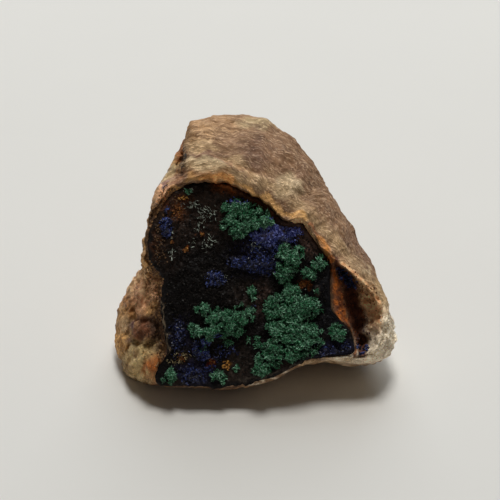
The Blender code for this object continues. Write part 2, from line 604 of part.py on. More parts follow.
FINISHES = {
    "host_rock": make_finish("host_rock", (0.36, 0.24, 0.15), 0.85),
    "dark_crust": make_finish("dark_crust", (0.02, 0.018, 0.022), 0.55),
    "malachite": make_finish("malachite", (0.06, 0.27, 0.17), 0.8),
    "azurite": make_finish("azurite", (0.02, 0.04, 0.25), 0.35),
}
make_host_rock()
make_dark_crust()
make_malachite()
make_azurite()
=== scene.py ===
# %% [markdown]
# # An azurite specimen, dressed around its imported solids
# The frame is the specimen's own set of solids. Everything that follows is laid over it in the
# same coordinates, so the first step is to load it and to note the box that it fills.

# %% Load the frame
import math

import bpy
import numpy as np
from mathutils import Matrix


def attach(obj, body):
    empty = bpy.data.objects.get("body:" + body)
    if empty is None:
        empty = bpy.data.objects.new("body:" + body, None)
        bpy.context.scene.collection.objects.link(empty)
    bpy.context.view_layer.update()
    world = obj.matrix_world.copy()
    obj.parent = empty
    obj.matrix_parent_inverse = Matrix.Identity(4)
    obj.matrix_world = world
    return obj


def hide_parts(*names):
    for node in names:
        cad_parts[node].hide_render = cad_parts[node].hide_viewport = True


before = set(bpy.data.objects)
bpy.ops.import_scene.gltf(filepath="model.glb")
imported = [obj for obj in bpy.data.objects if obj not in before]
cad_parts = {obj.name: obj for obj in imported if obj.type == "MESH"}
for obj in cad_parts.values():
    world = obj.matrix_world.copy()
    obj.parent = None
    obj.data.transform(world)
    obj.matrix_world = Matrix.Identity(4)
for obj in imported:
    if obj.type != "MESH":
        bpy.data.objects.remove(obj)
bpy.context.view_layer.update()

# %% [markdown]
# ## Where things are
# A collector describes such a piece from its mineral face, so the shapes are drawn in the face's
# own coordinates: u to the right, v up the face, w out of it, all in millimetres. One function
# stands the face up at its tilt. Drawing in world coordinates would work too, but every outline
# would then need three numbers a point and could not be checked by eye.

# %% The face's coordinates
MM = 0.001
TAU = 2.0 * math.pi
FACE_TILT = math.radians(38.0)
FACE_ORIGIN = (-0.92, -5.92, 24.9)
FACE_CENTRE = (0.5, -3.0)
HEART_DEPTH = 14.0
CRUST_THICKNESS = 1.5
GAP = 0.36


def smooth(x):
    """Ease from 0 to 1 as x goes from 0 to 1, and hold outside that."""
    x = np.clip(x, 0.0, 1.0)
    return x * x * (3.0 - 2.0 * x)


def mix(a, b, share):
    """a plus a share of the way to b."""
    return a + (b - a) * share


def to_world(points):
    """Face coordinates (u, v, w) to world: v and w turned by the tilt, then moved to the origin."""
    u, v, w = np.moveaxis(np.asarray(points, float), -1, 0)
    rise, reach = math.cos(FACE_TILT), math.sin(FACE_TILT)
    x0, y0, z0 = FACE_ORIGIN
    return np.stack([x0 + u, y0 + v * reach - w * rise, z0 + v * rise + w * reach], axis=-1)


print("face origin in the world (mm):", to_world((0.0, 0.0, 0.0)))

# %% [markdown]
# ## Camera
# The face is looked at square on, from a little over 40 cm, which is where a phone would be. The
# lens is worked out from the width of the view at the face, so that sizes can be read off directly.

# %% Camera
VIEW_DISTANCE = 420.0
VIEW_WIDTH = 92.5
SENSOR = 36.0

camera = bpy.data.objects.new("camera", bpy.data.cameras.new("camera"))
bpy.context.scene.collection.objects.link(camera)
camera.data.sensor_width = SENSOR
camera.data.lens = SENSOR * VIEW_DISTANCE / VIEW_WIDTH
camera.location = to_world((0.0, 0.0, VIEW_DISTANCE)) * MM
camera.rotation_euler = (math.pi / 2.0 - FACE_TILT, 0.0, 0.0)
camera.data.clip_start = 0.01
bpy.context.scene.camera = camera
print("lens (mm):", round(camera.data.lens, 1))

# %% [markdown]
# ## Light
# The specimen stands on plain pale card. A soft, slightly warm lamp hangs high behind it and a wide
# cool one stands further back, like a window: the lump's top is bright, its shadow falls towards the
# viewer, and light only grazes the face. Grazing light is what makes thousands of small crystals stand
# out. A faint warm sky fills the shadows. A lamp beside the viewer would flatten every crystal.

# %% Lamps and sky
bpy.context.scene.view_settings.view_transform = "Standard"
LIT_POINT = (0.0, 0.0, 0.02)


def add_lamp(name, position, size, power, colour):
    """A square soft lamp at a position in metres, turned to shine at the specimen."""
    light = bpy.data.lights.new(name, "AREA")
    light.size = size
    light.energy = power
    light.color = colour
    item = bpy.data.objects.new(name, light)
    bpy.context.scene.collection.objects.link(item)
    item.location = position
    aim = np.array(LIT_POINT) - np.array(position)
    item.rotation_euler = (math.acos(-aim[2] / np.linalg.norm(aim)), 0.0, math.atan2(-aim[0], aim[1]))


add_lamp("overhead", (0.06, 0.38, 1.28), 0.40, 10.6, (1.0, 0.975, 0.92))
add_lamp("window_behind", (0.06, 1.22, 0.95), 1.30, 13.6, (0.89, 0.96, 1.0))
sky = bpy.data.worlds.new("sky")
sky.use_nodes = True
background = sky.node_tree.nodes["Background"].inputs
background["Color"].default_value = (1.0, 0.84, 0.66, 1.0)
background["Strength"].default_value = 0.08
bpy.context.scene.world = sky

# %% [markdown]
# ## Shader helpers
# Materials are long chains of small nodes. A helper that makes one node and plugs its inputs in
# keeps each chain readable from top to bottom.

# %% Node helpers
def plug(tree, socket, value):
    """Links a socket into an input, or sets the input's own value."""
    if isinstance(value, bpy.types.NodeSocket):
        tree.links.new(value, socket)
    elif isinstance(value, tuple) and len(value) == 3 and socket.type == "RGBA":
        socket.default_value = (*value, 1.0)
    else:
        socket.default_value = value


def node(tree, kind, inputs=None, **settings):
    """A node with its settings and inputs. The inputs are keyed by name or by number."""
    made = tree.nodes.new(kind)
    for key, value in settings.items():
        setattr(made, key, value)
    for key, value in (inputs or {}).items():
        plug(tree, made.inputs[key], value)
    return made


def sums(tree, operation, a, b=0.0, clamp=False):
    """A Math node's result: sockets or numbers in, a socket out."""
    made = node(tree, "ShaderNodeMath", {0: a, 1: b}, operation=operation)
    made.use_clamp = clamp
    return made.outputs[0]


def times(tree, a, b, clamp=False):
    """a times b, held between 0 and 1 if asked."""
    return sums(tree, "MULTIPLY", a, b, clamp)


def plus(tree, a, b, clamp=False):
    """a plus b, held between 0 and 1 if asked."""
    return sums(tree, "ADD", a, b, clamp)


def minus(tree, a, b):
    """a minus b."""
    return sums(tree, "SUBTRACT", a, b)


def blend(tree, share, a, b, how="MIX"):
    """Colour a turned into colour b by a share."""
    made = node(tree, "ShaderNodeMix", data_type="RGBA", blend_type=how)
    plug(tree, made.inputs[0], share)
    plug(tree, made.inputs[6], a)
    plug(tree, made.inputs[7], b)
    return made.outputs[2]


def tinted(tree, colour, glass):
    """A colour seen through tinted glass: the two multiplied channel by channel."""
    return blend(tree, 1.0, colour, glass, how="MULTIPLY")


def attribute(tree, name, output="Fac"):
    """A value that was stored on the mesh's points."""
    return node(tree, "ShaderNodeAttribute", attribute_name=name).outputs[output]


def place(tree):
    """Object coordinates in millimetres, so that every Scale below is 1 over a size in mm."""
    coordinate = node(tree, "ShaderNodeTexCoord").outputs["Object"]
    scaled = node(tree, "ShaderNodeVectorMath", {0: coordinate, "Scale": 1.0 / MM}, operation="SCALE")
    return scaled.outputs[0]


def new_material(name, roughness, level=0.5):
    """An empty material and its Principled shader."""
    made = bpy.data.materials.new(name)
    made.use_nodes = True
    shader = made.node_tree.nodes["Principled BSDF"]
    shader.inputs["Roughness"].default_value = roughness
    shader.inputs["Specular IOR Level"].default_value = level
    return made, made.node_tree, shader


print("patterns are scaled by", 1.0 / MM)

# %% [markdown]
# Two effects turn up in every mineral here: patches of one tone breaking into another, and single tiny
# crystal faces that catch the light, which the materials paint in as lighter cells, that is painted glints.
# Each is a node group, built once, with its own inputs.

# %% Shared shader groups
def new_group(name, defaults, results):
    """A shader node group: a vector and numbers with defaults go in, and named numbers come out."""
    group = bpy.data.node_groups.new(name, "ShaderNodeTree")
    group.interface.new_socket("Vector", in_out="INPUT", socket_type="NodeSocketVector")
    for label, default in defaults.items():
        socket = group.interface.new_socket(label, in_out="INPUT", socket_type="NodeSocketFloat")
        socket.default_value = default
    for label in results:
        group.interface.new_socket(label, in_out="OUTPUT", socket_type="NodeSocketFloat")
    return group, group.nodes.new("NodeGroupInput").outputs, group.nodes.new("NodeGroupOutput").inputs


def make_patches_group():
    """Fractal noise pushed to contrast: Share is how much is covered, Softness how wide the edge is."""
    defaults = {"Scale": 1.0, "Share": 0.5, "Softness": 0.2}
    group, given, result = new_group("patches", defaults, ["Mask"])
    noise = node(group, "ShaderNodeTexNoise", {
        "Vector": given["Vector"], "Scale": given["Scale"], "Detail": 6.0, "Roughness": 0.62,
    })
    level = minus(group, 0.78, times(group, given["Share"], 0.56))
    above = minus(group, noise.outputs["Fac"], level)
    spread = sums(group, "DIVIDE", above, given["Softness"])
    plug(group, result["Mask"], plus(group, spread, 0.5, clamp=True))
    return group


def make_glints_group():
    """Cells of crystal size: Mask is 1 in the middle of a chance few, Tone is random a cell."""
    group, given, result = new_group("glints", {"Scale": 5.0, "Share": 0.05}, ["Mask", "Tone"])
    cells = node(group, "ShaderNodeTexVoronoi", {"Vector": given["Vector"], "Scale": given["Scale"]})
    parts = node(group, "ShaderNodeSeparateColor", {"Color": cells.outputs["Color"]})
    chosen = sums(group, "LESS_THAN", parts.outputs[0], given["Share"])
    core = sums(group, "LESS_THAN", cells.outputs["Distance"], 0.38)
    plug(group, result["Mask"], times(group, chosen, core))
    plug(group, result["Tone"], parts.outputs[1])
    return group


PATCHES_GROUP = make_patches_group()
GLINTS_GROUP = make_glints_group()
print("shader groups:", PATCHES_GROUP.name, "and", GLINTS_GROUP.name)

# %% [markdown]
# A group is one node in a material, with its own inputs. The last helpers add what every surface here
# has: bumps, and a chain's three ends plugged into its shader.

# %% Effects in a material
def patches(tree, vector, scale, share, softness=0.2):
    """The mask of a patches group placed in a material."""
    given = {"Vector": vector, "Scale": scale, "Share": share, "Softness": softness}
    return node(tree, "ShaderNodeGroup", given, node_tree=PATCHES_GROUP).outputs["Mask"]


def glints(tree, vector, scale, share):
    """The mask and the chance tone of a glints group placed in a material."""
    given = {"Vector": vector, "Scale": scale, "Share": share}
    made = node(tree, "ShaderNodeGroup", given, node_tree=GLINTS_GROUP)
    return made.outputs["Mask"], made.outputs["Tone"]


def bump(tree, height, strength, distance_mm, normal=None):
    """The normal bent by a height, on top of another bent normal if one is given."""
    inputs = {"Height": height, "Strength": strength, "Distance": distance_mm * MM}
    if normal is not None:
        inputs["Normal"] = normal
    return node(tree, "ShaderNodeBump", inputs).outputs["Normal"]


def fine_grain(tree, where, scale, strength):
    """The unevenness of a crystal's face: noise a tenth of a millimetre wide and 0.05 mm high."""
    fine = node(tree, "ShaderNodeTexNoise", {"Vector": where, "Scale": scale, "Detail": 3.0})
    return bump(tree, fine.outputs["Fac"], strength, 0.05)


def set_surface(tree, shader, colour, roughness, normal):
    """Plugs the three ends of a chain into the Principled shader."""
    for key, value in (("Base Color", colour), ("Roughness", roughness), ("Normal", normal)):
        plug(tree, shader.inputs[key], value)


print("a bump 1 mm high is", 1.0 * MM, "in Blender's metres")

# %% [markdown]
# ## Floor
# The floor is one flat square, so wide that its edges are never seen. Real card is never quite even,
# so a very broad patchy mask moves its tone by a hair. A bent backdrop would hide the horizon too, but
# the view looks down steeply enough without it.

# %% Floor
def make_floor():
    """A wide flat card under the specimen, with the faintest unevenness of tone."""
    half = 1.5
    corners = [(-half, -half, 0.0), (half, -half, 0.0), (half, half, 0.0), (-half, half, 0.0)]
    mesh = bpy.data.meshes.new("floor")
    mesh.from_pydata(corners, [], [(0, 1, 2, 3)])
    floor = bpy.data.objects.new("floor", mesh)
    bpy.context.scene.collection.objects.link(floor)
    made, tree, shader = new_material("card", 0.75, 0.25)
    cloud = patches(tree, place(tree), 0.02, 0.5, 0.9)
    plug(tree, shader.inputs["Base Color"], blend(tree, cloud, (0.74, 0.735, 0.72), (0.77, 0.765, 0.75)))
    mesh.materials.append(made)


make_floor()

# %% [markdown]
# ## Broken rock as a formula
# Broken rock has no smooth patch, but its roughness is the same at every size. Sums of waves with
# random headings give soft relief, and the same sums with straight-sided waves give flat chips with
# creases between them. Both are functions of the place alone, so a fine mesh and a coarse one agree.

# %% Relief
def headings(length, count, seed):
    """Chance directions times TAU over a length near the given one, and chance phases."""
    rng = np.random.default_rng(seed)
    heading = rng.normal(size=(count, 3))
    heading /= np.linalg.norm(heading, axis=1, keepdims=True)
    heading *= TAU / (length * rng.uniform(0.7, 1.5, (count, 1)))
    return heading, rng.uniform(0.0, TAU, count)


def waves(points, length, count, seed):
    """The sum of plane sine waves of about one length, over the root of their number."""
    heading, phase = headings(length, count, seed)
    return np.sin(points @ heading.T + phase).sum(axis=-1) / math.sqrt(count)


def facets(points, length, count, seed):
    """The same sum with triangle waves, which gives flat chips and creases."""
    heading, phase = headings(length, count, seed)
    straight = np.arcsin(np.sin(points @ heading.T + phase)) * 2.0 / math.pi
    return straight.sum(axis=-1) / math.sqrt(count)


TEST_PLACES = np.stack(np.meshgrid(*[np.linspace(-20.0, 20.0, 12)] * 3), axis=-1)
for relief in (waves, facets):
    spread = float(relief(TEST_PLACES, 5.0, 12, seed=1).std())
    print(relief.__name__, "spread to either side:", round(spread, 2))

# %% [markdown]
# ## Outlines
# A closed outline is a short list of corners round the face's centre. It is turned into a table of
# radius against angle, which makes it a function that a grid can follow at any density.

# %% Outlines of the lump
RIM = [
    (-11.5, 24.3, -8.5), (-6.9, 25.6, -10.0), (-1.3, 25.6, -11.0), (3.1, 24.6, -11.0),
    (7.6, 21.8, -11.0), (12.3, 17.1, -11.0), (15.6, 10.6, -11.0), (19.5, 4.5, -11.0),
    (22.5, -2.0, -10.0), (25.5, -8.5, -9.0), (27.2, -15.2, -8.0), (27.1, -17.5, -7.0),
    (25.6, -19.9, -5.5), (22.7, -20.8, -4.4), (18.3, -21.0, -3.2), (13.6, -20.6, -2.4),
    (10.1, -20.9, -2.0), (7.3, -22.1, -1.9), (4.2, -23.7, -1.8), (-0.5, -24.9, -1.8),
    (-4.4, -25.5, -1.8), (-9.1, -25.5, -2.0), (-15.4, -25.3, -2.6), (-19.4, -24.8, -4.0),
    (-22.6, -23.6, -6.0), (-23.6, -21.5, -9.0), (-26.0, -18.6, -12.5), (-25.5, -15.4, -14.0),
    (-25.3, -11.8, -14.0), (-23.2, -7.4, -12.5), (-20.3, -3.9, -9.0), (-19.8, 2.1, -7.0),
    (-19.0, 6.0, -6.0), (-17.8, 10.4, -6.0), (-15.6, 14.8, -6.0), (-13.4, 18.8, -6.0),
    (-12.0, 21.6, -6.5),
]
LIP = [
    (-12.8, 12.1, -0.4), (-11.1, 12.6, 0.6), (-9.2, 12.6, 1.0), (-6.5, 12.6, 1.2),
    (-4.4, 13.0, 1.4), (-3.4, 12.4, 1.5), (-1.3, 11.2, 1.5), (1.8, 9.9, 1.5),
    (4.0, 8.2, 1.5), (5.7, 6.1, 1.2), (7.0, 5.3, 1.2), (8.2, 6.1, 1.2), (9.8, 6.1, 1.0), (11.2, 4.1, 0.8),
    (12.3, 2.2, 0.8), (13.4, 0.4, 0.8), (15.1, -1.4, 0.5), (16.7, -2.6, 0.3),
    (18.7, -4.1, 0.0), (21.1, -6.4, -0.4), (22.6, -7.9, -0.7), (24.0, -9.7, -1.1),
    (24.3, -12.1, -1.1), (23.9, -14.8, -1.0), (23.6, -17.6, -1.0), (21.9, -19.4, -1.0),
    (19.0, -20.1, -1.0), (15.1, -20.1, -1.0), (11.2, -20.3, -1.0), (7.3, -21.7, -1.2),
    (4.2, -23.3, -1.2), (-0.5, -24.6, -1.2), (-4.4, -25.2, -1.2), (-9.1, -25.2, -1.5),
    (-15.4, -25.0, -2.0), (-17.2, -24.3, -2.0), (-17.3, -22.2, -1.9), (-16.4, -20.1, -1.7),
    (-15.7, -18.6, -1.6), (-16.2, -16.4, -1.6), (-16.8, -13.0, -1.6), (-17.2, -10.2, -1.6),
    (-17.0, -7.4, -1.6), (-16.9, -5.4, -1.5), (-17.8, -4.1, -1.4), (-19.2, -2.3, -1.2),
    (-19.6, 0.8, -1.2), (-19.3, 3.5, -1.2), (-18.5, 5.8, -1.0), (-17.5, 7.8, -0.8),
    (-16.2, 9.6, -0.8), (-14.5, 11.3, -0.6),
]
CRUST = [
    (-12.8, 11.0), (-11.0, 11.8), (-8.3, 11.9), (-6.7, 11.8), (-4.1, 11.2), (-2.2, 10.4),
    (0.0, 9.4), (2.2, 8.0), (4.0, 6.5), (5.4, 4.9), (7.4, 4.4), (9.5, 4.6), (10.6, 2.8),
    (12.2, 0.6), (14.0, -1.7), (14.5, -2.9), (14.5, -5.8), (14.6, -8.9), (14.8, -11.0),
    (16.5, -13.2), (17.7, -13.8), (18.3, -14.7), (18.9, -16.3), (19.2, -18.6), (18.5, -19.2),
    (13.0, -19.4), (10.0, -19.8), (7.3, -21.2), (4.2, -22.8), (-0.5, -23.9), (-4.4, -24.5),
    (-9.1, -24.5), (-15.4, -24.3), (-16.4, -23.3), (-16.6, -21.9), (-15.6, -20.2),
    (-14.8, -18.7), (-15.3, -16.4), (-15.8, -13.1), (-16.2, -10.2), (-15.8, -7.6),
    (-15.5, -5.4), (-16.4, -4.0), (-18.0, -2.2), (-18.5, 0.9), (-18.2, 3.2), (-17.4, 5.2),
    (-16.4, 7.1), (-15.2, 8.9), (-13.9, 10.4),
]
print("outlines: rim", len(RIM), "lip", len(LIP), "crust", len(CRUST), "corners")

# %% [markdown]
# A grid asks for the radius at thousands of angles, so each outline becomes a table that is smoothed a
# little and read between its entries. Chance breaks are added along the lip, which is a broken edge.

# %% Outlines as tables
ANGLES = 1440
SIDE_STEPS = 12
LEAST_STEP = 0.28


class Outline:
    """Radius and w of a straight-sided closed curve by angle, with corners softened over degrees."""

    def __init__(self, points, soften, soften_depth=5.0):
        """Cuts each side into short steps and reads radius and w off them at even angles."""
        corners = np.array([tuple(point) + (0.0,) * (3 - len(point)) for point in points])
        steps = np.arange(SIDE_STEPS)[:, None, None] / SIDE_STEPS
        points = mix(corners, np.roll(corners, -1, axis=0), steps).reshape(-1, 3)
        du, dv = points[:, 0] - FACE_CENTRE[0], points[:, 1] - FACE_CENTRE[1]
        angle = np.mod(np.arctan2(dv, du), TAU)
        self.angles = np.arange(ANGLES) * TAU / ANGLES
        self.radii = self.softened(np.interp(self.angles, angle, np.hypot(du, dv), period=TAU), soften)
        self.depths = self.softened(np.interp(self.angles, angle, points[:, 2], period=TAU), soften_depth)

    @staticmethod
    def softened(values, degrees):
        """The mean of a table's values over some degrees to either side."""
        steps = int(degrees * ANGLES / 360.0)
        return np.mean([np.roll(values, shift) for shift in range(-steps, steps + 1)], axis=0)

    def radius(self, angle):
        """The radius at an angle, read between the table's entries."""
        return np.interp(angle, self.angles, self.radii, period=TAU)

    def depth(self, angle):
        """w at an angle, read between the table's entries."""
        return np.interp(angle, self.angles, self.depths, period=TAU)


RIM_LINE = Outline(RIM, soften=1.0)
LIP_LINE = Outline(LIP, soften=1.0)
CRUST_LINE = Outline(CRUST, soften=0.5)


def bed_radius(angle):
    """The bed runs a gap past the crust's outline."""
    return CRUST_LINE.radius(angle) + GAP


def on_face(radius, angle):
    """u and v at a radius and an angle round the face's centre."""
    return FACE_CENTRE[0] + radius * np.cos(angle), FACE_CENTRE[1] + radius * np.sin(angle)


def ragged(angle, seed):
    """Small breaks along an edge: waves of 2.6 mm and 0.9 mm on a circle of about its size."""
    around = np.stack([18.0 * np.cos(angle), 18.0 * np.sin(angle), np.zeros_like(angle)], axis=-1)
    return 0.20 * facets(around, 2.6, 10, seed) + 0.12 * facets(around, 0.9, 16, seed + 1)


def lip_radius(angle):
    """The lip's outline with its breaks, and never nearer to the bed than the least step."""
    return np.maximum(LIP_LINE.radius(angle) + ragged(angle, 11), bed_radius(angle) + LEAST_STEP)


def rim_radius(angle):
    """The rim's outline, kept outside the lip."""
    return np.maximum(RIM_LINE.radius(angle), lip_radius(angle) + LEAST_STEP)


print("from the centre right to lip and rim (mm):", lip_radius(0.0).round(1), rim_radius(0.0).round(1))

# %% [markdown]
# ## Spots and bands
# Stains and tones on a rock have places: rust along the lip, pale crystals at the foot. Each is a
# soft oval or a band along a line in face coordinates, worked out for every point of a mesh and
# stored on it as a named value that the material reads.

# %% Soft ovals and bands
def spot(u, v, centre, half_u, half_v, soft=0.5):
    """1 inside an oval and 0 outside, easing over a share of its size."""
    distance = np.hypot((u - centre[0]) / half_u, (v - centre[1]) / half_v)
    return 1.0 - smooth((distance - 1.0 + soft) / (2.0 * soft))


def spots(u, v, ovals, soft=0.5):
    """The strongest of several ovals, each (centre u, centre v, half width, half height, strength)."""
    total = np.zeros_like(u)
    for cu, cv, half_u, half_v, strength in ovals:
        total = np.maximum(total, strength * spot(u, v, (cu, cv), half_u, half_v, soft))
    return total


def line_distance(u, v, line):
    """Distance to a chain of straight stretches: the least over the stretches."""
    nearest = np.full(u.shape, 1e9)
    for (u0, v0), (u1, v1) in zip(line, line[1:]):
        du, dv = u1 - u0, v1 - v0
        along = np.clip(((u - u0) * du + (v - v0) * dv) / (du * du + dv * dv), 0.0, 1.0)
        nearest = np.minimum(nearest, np.hypot(u - u0 - along * du, v - v0 - along * dv))
    return nearest


def band(u, v, line, half_width):
    """1 on a line, easing to 0 at half the band's width."""
    return 1.0 - smooth(line_distance(u, v, line) / half_width)


print("an oval at 0, 1 and 2 half widths:", spot(np.array([0.0, 1.0, 2.0]), 0.0, (0.0, 0.0), 1.0, 1.0))

# %% [markdown]
# ## The front of the lump
# Inside the lip the rock is a height over the face: a swelling bed that the dark crust lies on, the
# lip's wall, and on the right a rusty plate that falls into a narrow hollow with an outer wall. The
# hollow is a profile across it, carried along four lines. Outside the lip the surface runs over a
# shoulder to the rim.

# %% Lines and depths of the hollow
PLATE_START = [
    (-19.2, 19.4), (-16.3, 19.2), (-13.7, 18.2), (-12.9, 16.8), (-10.9, 15.1), (-5.7, 14.8),
    (-2.8, 14.8), (-1.2, 14.3),
]
PLATE_END = [
    (-18.3, 19.8), (-15.5, 19.1), (-12.9, 18.1), (-11.3, 17.7), (-8.9, 17.2), (-6.6, 17.2),
    (-4.1, 15.9), (-2.6, 15.4),
]
HOLLOW_END = [
    (-18.6, 21.6), (-17.4, 22.2), (-16.3, 22.0), (-15.4, 21.1), (-14.5, 21.4), (-13.1, 22.0),
    (-12.5, 21.6), (-11.3, 21.2), (-10.4, 20.4), (-8.6, 20.1), (-7.0, 20.0), (-5.0, 19.2), (-3.7, 17.9),
    (-2.6, 16.4),
]
WALL_TOP = [
    (-19.3, 21.9), (-17.6, 23.6), (-12.1, 24.3), (-9.7, 24.0), (-7.5, 22.5), (-5.7, 21.0),
    (-4.0, 19.0), (-2.3, 17.0), (-1.1, 15.3),
]
PLATE_TOP_DEPTH = -0.4
PLATE_FALL = 2.1
HOLLOW_FALL = 2.6
HOLLOW_RISE = 1.2
WALL_RISE = 2.6
CREST_SHELF = 0.35
print("points in the hollow's outer line:", len(HOLLOW_END))

# %% [markdown]
# Each height below is a function of u and v alone, so the rock, the crust and the crystals can ask
# what lies under them. A sculpted mesh would have to be searched for its nearest point instead.

# %% Bed, wall and hollow
def wall_start(u, v):
    """The share of the way from bed to lip where the wall starts: late at the top, where it is steep."""
    return 0.62 * smooth((v - 0.5) / 4.0) * smooth((u + 13.0) / 2.0) * smooth((8.2 - u) / 1.4)


def swell(u, v):
    """Slow rise and fall of the mineral face: a product of two sines plus a slanting one."""
    return 0.40 * np.sin(u / 6.1 + 0.6) * np.sin(v / 5.3 - 0.4) + 0.16 * np.sin((u + v) / 3.1)


def bed(u, v):
    """The swell, lowered by the crust and the gap under it."""
    return swell(u, v) - CRUST_THICKNESS - GAP


def crust_top(u, v):
    """The swell with slow waves 7 mm long."""
    lumps = waves(np.stack([u, v, np.zeros_like(u)], axis=-1), 7.0, 9, seed=21)
    return swell(u, v) + 0.13 * lumps


def line_at(line, v):
    """u of a line of (v, u) points at a height v."""
    along, across = np.array(line).T
    return np.interp(v, along, across)


def hollow(u, v):
    """w across the hollow: plate falling, steep drop, short rise, then the outer wall climbing."""
    start, end = line_at(PLATE_START, v), line_at(PLATE_END, v)
    far, top = line_at(HOLLOW_END, v), line_at(WALL_TOP, v)
    least = 0.15
    plate = np.clip((u - start) / np.maximum(end - start, least), 0.0, 1.0)
    width = np.maximum(far - end, least)
    drop = smooth((u - end) / (0.45 * width))
    rise = smooth((u - end - 0.6 * width) / (0.4 * width))
    wall = np.clip((u - far) / np.maximum(top - far, least), 0.0, 1.0)
    depth = -PLATE_FALL * plate - HOLLOW_FALL * drop + HOLLOW_RISE * rise + WALL_RISE * wall
    open_share = smooth((v + 19.6) / 2.4) * smooth((-1.6 - v) / 2.8)
    return PLATE_TOP_DEPTH + depth * open_share


def in_hollow(u, v):
    """1 over the plate and the hollow, easing to 0 on all sides in under a millimetre."""
    return smooth((u - 13.4) / 0.8) * smooth((v + 20.4) / 0.8) * smooth((-0.7 - v) / 0.8)


def inner_front(u, v):
    """w inside the lip: the bed, a shelf just under the crust's top and a smooth climb to the lip,
    or on the right the hollow."""
    du, dv = u - FACE_CENTRE[0], v - FACE_CENTRE[1]
    angle, radius = np.arctan2(dv, du), np.hypot(du, dv)
    foot, crest = bed_radius(angle), lip_radius(angle)
    climb = (radius - foot) / (crest - foot)
    beside_crust = mix(bed(u, v), crust_top(u, v) - CREST_SHELF, smooth((radius - foot) / 0.12))
    late = wall_start(u, v)
    wall = mix(beside_crust, LIP_LINE.depth(angle), smooth((climb - late) / (1.0 - late)))
    ledge = mix(bed(u, v), hollow(u, v), smooth((radius - foot) / 0.35))
    return mix(wall, ledge, in_hollow(u, v) * (climb > 0.0) * smooth((1.0 - climb) / 0.08 + 0.35))


BED_AND_HOLLOW = np.array([[0.5, 20.0], [-3.0, -12.0]])
print("w in the bed's middle and in the hollow (mm):", inner_front(*BED_AND_HOLLOW).round(2))

# %% [markdown]
# Outside the lip the lump isn't even: a ledge runs across its top, pillows of rock swell on the left
# and at the foot, and creases cut in between. Sculpting them would be quick by eye and impossible to
# repeat, so each is one term in a sum of heights: a band, a soft step or half an egg.

# %% Ledge, pillows and creases
LEDGE = [
    (-12.5, 17.9), (-7.2, 17.8), (-4.0, 15.9), (-0.2, 14.3), (3.0, 13.4), (6.5, 12.6), (10.0, 9.0),
    (14.0, 4.5),
]
# Pillows as (centre u, centre v, half width, half height, height)
PILLOWS = [
    (-19.9, -15.2, 2.3, 2.1, 1.6), (-20.2, -20.9, 3.7, 3.5, 1.9), (-18.0, -22.0, 1.5, 2.4, 0.7),
    (-17.4, -7.6, 2.0, 3.0, 1.0), (-17.2, -10.6, 2.0, 1.3, 0.6), (-19.6, -11.6, 1.6, 1.2, 0.5),
    (-22.6, -7.8, 1.8, 3.4, 1.2), (-23.4, -13.0, 1.8, 2.6, 0.9), (-24.4, -18.0, 1.4, 2.2, 0.9),
    (24.9, -17.2, 1.9, 2.4, 0.8), (25.3, -12.6, 1.7, 2.0, 0.6), (21.0, -20.2, 2.2, 0.9, 0.5),
    (16.9, 1.2, 1.7, 1.3, 0.4), (10.2, 12.4, 2.4, 2.0, 0.4), (-6.6, 24.7, 0.8, 0.7, 0.5),
    (-3.7, 24.6, 0.9, 0.7, 0.5), (23.8, -6.8, 1.6, 2.2, 0.35), (22.8, -14.6, 1.5, 1.6, 0.7),
    (23.2, -17.6, 2.2, 1.6, 0.8), (21.0, -18.9, 1.7, 1.2, 0.5),
    (-15.2, 14.8, 1.3, 2.6, 0.7), (-15.0, 10.4, 1.5, 1.2, 0.5), (-17.2, 8.4, 1.0, 1.6, 0.4),
    (-18.6, 4.4, 0.8, 1.8, 0.35),
]


def pillow(u, v, centre_u, centre_v, half_u, half_v, height):
    """Half an egg on the surface: height times the root of one minus the squared distance."""
    inside = 1.0 - ((u - centre_u) / half_u) ** 2 - ((v - centre_v) / half_v) ** 2
    return height * np.sqrt(np.maximum(inside, 0.0))


def front_features(u, v):
    """The bench below the ledge, the left flank's fall, the gold ridge, lumps and crevices."""
    ledge_u, ledge_v = np.array(LEDGE).T
    below = smooth((np.interp(u, ledge_u, ledge_v) - v) / 0.6 + 0.5)
    bench = mix(1.0, 0.35, smooth((u + 2.0) / 8.0)) * below * smooth((v - 4.0) / 4.0)
    flank = -1.25 * np.maximum(0.0, -11.3 - u) * smooth((v - 11.5) / 2.5)
    ridge = 0.9 * band(u, v, [(-19.5, -1.0), (-19.4, -2.6), (-20.0, -6.6), (-20.7, -9.4)], 1.3)
    crevice = -1.8 * band(u, v, [(-16.9, -11.0), (-17.1, -13.6), (-16.6, -16.6)], 0.9)
    fold = -0.8 * band(u, v, [(-21.6, -4.0), (-21.8, -8.0), (-21.9, -12.4), (-22.8, -16.0)], 0.9)
    beside_hood = smooth((v - 13.2) / 1.2) * smooth((22.0 - v) / 2.0)
    step = -1.1 * smooth((-12.1 - u) / 0.4) * beside_hood
    pit = -1.7 * band(u, v, [(-12.5, 18.2), (-12.9, 16.8), (-13.6, 15.9)], 0.75)
    return bench + flank + ridge + crevice + fold + step + pit + sum(
        pillow(u, v, *shape) for shape in PILLOWS)


print("pillows:", len(PILLOWS), "highest (mm):", max(shape[-1] for shape in PILLOWS))

# %% [markdown]
# Now the parts meet. A grid by angle and ring suits a lump better than rows and columns: its lines
# follow bed, lip and rim, so no triangle straddles a crisp edge, and the back can take up where it ends.

